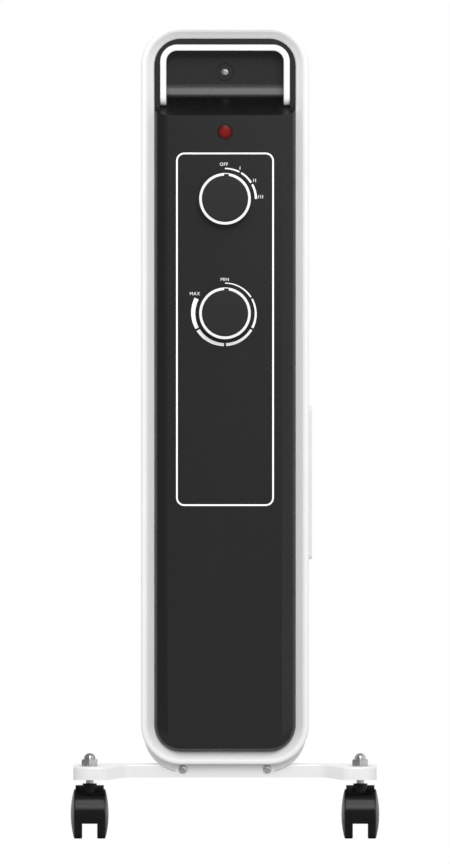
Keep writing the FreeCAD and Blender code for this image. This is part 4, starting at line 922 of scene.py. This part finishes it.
def bracket_block(inset, deep):
    """Solid room of the bracket: its outside, or the room under the sheet."""
    pairs, rows = bracket_plan(), 22
    count = len(pairs)
    right, left = [[a.lerp(b, k / rows) for k in range(1, rows)] for a, b in (pairs[-1], pairs[0])]
    loop = [a for a, _ in pairs] + right + [b for _, b in reversed(pairs)] + left[::-1]
    bend = max(0.4, 1.9 - inset)
    rings = [[(p.x, p.y, front_edge(p.x) - 10.5 - deep) for p in inset_loop(loop, inset)]]
    for t in quarter(5):
        moved = inset_loop(loop, inset + bend * (1 - math.cos(t)))
        rings.append([(p.x, p.y, bracket_top(p.x, p.y) - inset - bend * (1 - math.sin(t))) for p in moved])
    crest = rings[-1]
    front, rear = crest[:count], crest[count + rows - 1:2 * count + rows - 1][::-1]
    right, left = crest[count:count + rows - 1], crest[2 * count + rows - 1:][::-1]
    grid = [front]
    for k in range(1, rows):
        row = []
        for a, b in list(zip(front, rear))[1:-1]:
            x, y = a[0] + (b[0] - a[0]) * k / rows, a[1] + (b[1] - a[1]) * k / rows
            row.append((x, y, bracket_top(x, y) - inset))
        grid.append([left[k - 1]] + row + [right[k - 1]])
    skin = Skin().loops(rings).grid(grid + [rear])
    # underside, one face for each pair of stations; the end ones take in the points of the straight ends
    total = len(loop)
    back = [count + rows - 1 + i for i in range(count)][::-1]
    for i in range(count - 1):
        face = [i, i + 1, back[i + 1], back[i]]
        if i == count - 2:
            face[2:2] = range(count, count + rows - 1)
        if i == 0:
            face += range(2 * count + rows - 1, total)
        skin.faces.append(tuple(face))
    return skin.object()


def body_block(grow, y_low, y_high):
    """Room of the body that rests in the brackets."""
    plan = outline(BODY_HALF + grow, HOUSING_LOW.z - grow, 300, BODY_CORNER + grow, steps=16)
    return solid([at_depth(y, plan) for y in (y_low, y_high)])


def upright(x, y, z_low, z_high, radius, steps=40):
    return solid(turned([(radius, z_low), (radius, z_high)], (x, y, 0), ALONG_Z, steps))


def block(low, high):
    corners = ((low[0], low[1]), (high[0], low[1]), (high[0], high[1]), (low[0], high[1]))
    return solid([[(x, y, z) for x, y in corners] for z in (low[2], high[2])])


def bracket(node, name, rear):
    """Pressed channel that cradles the body, with a tongue for its screws and a dipping tab at each end."""
    tongue_half, tongue_low, tongue_high, hole_z = 39, 50.2, 57.8, 54.6
    outside = bracket_block(0, 0)
    inside = bracket_block(BRACKET_T, 8)
    for piece, grow in ((outside, BRACKET_FIT), (inside, BRACKET_FIT + BRACKET_T)):
        combine(piece, "DIFFERENCE", body_block(grow, -30, 40))
    combine(outside, "DIFFERENCE", inside)
    combine(outside, "UNION", block((-tongue_half, 0, tongue_low), (tongue_half, BRACKET_T, tongue_high)))
    soften(outside, 0.35, 2, 35)
    holes = [upright(side * TAB_X, TAB_Y, 40, 70, 3.2) for side in (-1, 1)]
    holes += [spun([(0, -2), (1.6, -2), (1.6, 4), (0, 4)], (side * TONGUE_SCREW_X, 0, hole_z), ALONG_Y, 24)
              for side in (-1, 1)]
    combine(outside, "DIFFERENCE", *holes)
    low, high = span(node)
    if rear:
        outside.data.transform(Matrix.Scale(-1, 4, (0, 1, 0)))
        outside.data.flip_normals()
    move(outside, 0, high.y - BRACKET_REACH if rear else low.y + BRACKET_REACH, 0)
    place(outside, name, ENAMEL, HEATER, [node], 32)


# ------------------------------------------------------------------ casters
WHEEL_R = 19.5
HOOD_R = 22.7
HOOD_T = 1.8
TRAIL = 10.0


def caster_hood(name):
    """Fender over the wheels, the web between them that holds the axle, and the boss for the stem."""
    x = middle(f"hood_{name}").x
    y = stem_axis(name)
    low, high = span(f"hood_{name}")
    half, web_half, inner = 11.15, 5.3, HOOD_R - HOOD_T
    drop, rise, run = 7.9, 4.5, 1.0         # where the fender ends in front and behind, from the axle
    centre = Vector((x, y + TRAIL, WHEEL_R))

    def disc(radius, half_width):
        return solid(turned([(radius, -half_width), (radius, half_width)], centre, ALONG_X, 88))

    fender = combine(disc(HOOD_R, half), "DIFFERENCE", disc(inner, half + 1))
    combine(fender, "UNION", disc(inner + HOOD_T / 2, web_half))
    below = [(-40, -drop), (5.6, -drop), (inner - run, rise), (40, rise), (40, -40), (-40, -40)]
    below = [(centre.y + a, centre.z + b) for a, b in below]
    combine(fender, "DIFFERENCE", solid([along_x(x + side, below) for side in (-30, 30)]))
    boss = upright(x, y, low.z + 16, high.z, 5.6, 48)
    combine(boss, "DIFFERENCE", disc(inner + HOOD_T / 2, 20))
    combine(fender, "UNION", boss)
    soften(fender, 0.5, 3, 35)
    combine(fender, "DIFFERENCE", upright(x, y, high.z - 3.0, high.z + 3, 3.08, 40))
    combine(fender, "DIFFERENCE", disc(2.5, 7))
    place(fender, f"caster_hood_{name}", GLOSS_BLACK, f"caster_{name}", [f"hood_{name}"], 32)


def wheel(name, letter):
    """Wheel with a blind bore, a dished inner side and a domed outer one."""
    low, high = span(f"wheel_{name}_{letter}")
    side = -1 if letter == "a" else 1
    centre = (low + high) / 2
    inner = high.x if side < 0 else low.x
    width, bulge = 6.4, 2.6
    sphere = (WHEEL_R ** 2 + bulge ** 2) / (2 * bulge)
    profile = [(2.55, 0.0), (7.0, 0.0), (7.6, 0.5), (15.4, 0.5), (16.0, 0.0), (WHEEL_R - 0.7, 0.0),
               (WHEEL_R - 0.2, 0.2), (WHEEL_R, 0.7), (WHEEL_R, width - 0.5), (WHEEL_R - 0.15, width - 0.1)]
    for k in range(1, 15):
        r = (WHEEL_R - 0.4) * (1 - k / 14)
        profile.append((r, width + bulge - sphere + math.sqrt(sphere ** 2 - r ** 2)))
    piece = hoop(turned(profile + [(0, 5.3), (2.55, 5.3)], (inner, centre.y, WHEEL_R), (side, 0, 0), 96))
    place(piece, f"caster_wheel_{name}_{letter}", TREAD, f"roller_{name}_{letter}",
          [f"wheel_{name}_{letter}"], 32)


# ------------------------------------------------------------------ build
front_frame()
control_cover()
handle_strip()
panel_print()
lamp()
knob("power", "power_dial")
knob("thermostat", "thermostat_dial")
screws()
housing()
side_plate()
for number in range(1, FINS + 1):
    fin(number)
dome_nuts()
bracket("front_bracket", "front_base_bracket", False)
bracket("rear_bracket", "rear_base_bracket", True)
for caster in CASTERS:
    caster_hood(caster)
    for letter in "ab":
        wheel(caster, letter)


# ------------------------------------------------------------------ stage, light and camera
def stage():
    """Pale floor, which the camera sees as white."""
    reach = 1.3
    mesh = bpy.data.meshes.new("floor")
    mesh.from_pydata([(-reach, -reach, 0), (reach, -reach, 0), (reach, reach, 0), (-reach, reach, 0)], [],
                     [(0, 1, 2, 3)])
    finish, shader = painted("floor", {"Base Color": (*grey(0.58), 1), "Roughness": 0.9,
                                       "Specular IOR Level": 0.1, "Emission Color": (1, 1, 1, 1)})
    glow = add(finish, "ShaderNodeMath", operation="MULTIPLY")
    glow.inputs[1].default_value = 0.9
    link(finish, add(finish, "ShaderNodeLightPath").outputs["Is Camera Ray"], glow.inputs[0])
    link(finish, glow.outputs["Value"], shader.inputs["Emission Strength"])
    mesh.materials.append(finish)
    floor = put("floor", mesh)


def world(room, front):
    """Soft room light. The camera sees white; gloss and clear parts see a white sweep behind the object
    and in front of it a dimmer room, darker to the left."""
    made = bpy.data.worlds.new("studio")
    bpy.context.scene.world = made
    made.use_nodes = True
    background = made.node_tree.nodes["Background"]
    background.inputs["Color"].default_value = (1, 1, 1, 1)

    def between(value, low, high, from_low=0.0, from_high=1.0):
        node = add(made, "ShaderNodeMapRange")
        link(made, value, node.inputs["Value"])
        fill(node, {"From Min": from_low, "From Max": from_high})
        for socket, level in (("To Min", low), ("To Max", high)):
            if isinstance(level, float):
                node.inputs[socket].default_value = level
            else:
                link(made, level, node.inputs[socket])
        return node.outputs["Result"]

    rays = add(made, "ShaderNodeLightPath").outputs
    split = add(made, "ShaderNodeSeparateXYZ")
    link(made, add(made, "ShaderNodeTexCoord").outputs["Generated"], split.inputs[0])
    mirrored = add(made, "ShaderNodeMath", operation="MAXIMUM")
    link(made, rays["Is Glossy Ray"], mirrored.inputs[0])
    link(made, rays["Is Transmission Ray"], mirrored.inputs[1])
    room_side = between(split.outputs["X"], front * 0.75, front * 2.5, -0.15, 0.9)
    sweep = between(split.outputs["Y"], room_side, 1.0, 0.55, 0.95)
    seen = between(mirrored.outputs[0], room, sweep)
    link(made, between(rays["Is Camera Ray"], seen, 1.0), background.inputs["Strength"])


def softbox(name, place_at, target, width, height, power):
    light = bpy.data.lights.new(name, "AREA")
    light.shape, light.size, light.size_y, light.energy = "RECTANGLE", width, height, power
    lamp_object = put(name, light)
    lamp_object.location = place_at
    lamp_object.rotation_euler = (Vector(target) - Vector(place_at)).to_track_quat("-Z", "Y").to_euler()


def camera():
    """Level and parallel, since the front face shows no perspective. It takes in 680 mm of height."""
    shown, distance, height = 0.680, 2.0, 0.320
    data = bpy.data.cameras.new("camera")
    data.type, data.ortho_scale = "ORTHO", shown
    data.clip_start, data.clip_end = 0.05, 20.0
    made = put("camera", data)
    made.location = (0, FRAME_LOW.y * MM - distance, height)
    made.rotation_euler = (math.pi / 2, 0, 0)
    bpy.context.scene.camera = made


stage()
world(0.73, 0.4)
softbox("key", (0.3, -2.9, 1.65), (0, 0, 0.32), 1.3, 1.1, 27)
softbox("high", (0.15, -2.2, 2.45), (0, 0, 0.5), 1.4, 0.8, 19)
camera()
bpy.context.scene.view_settings.view_transform = "Standard"
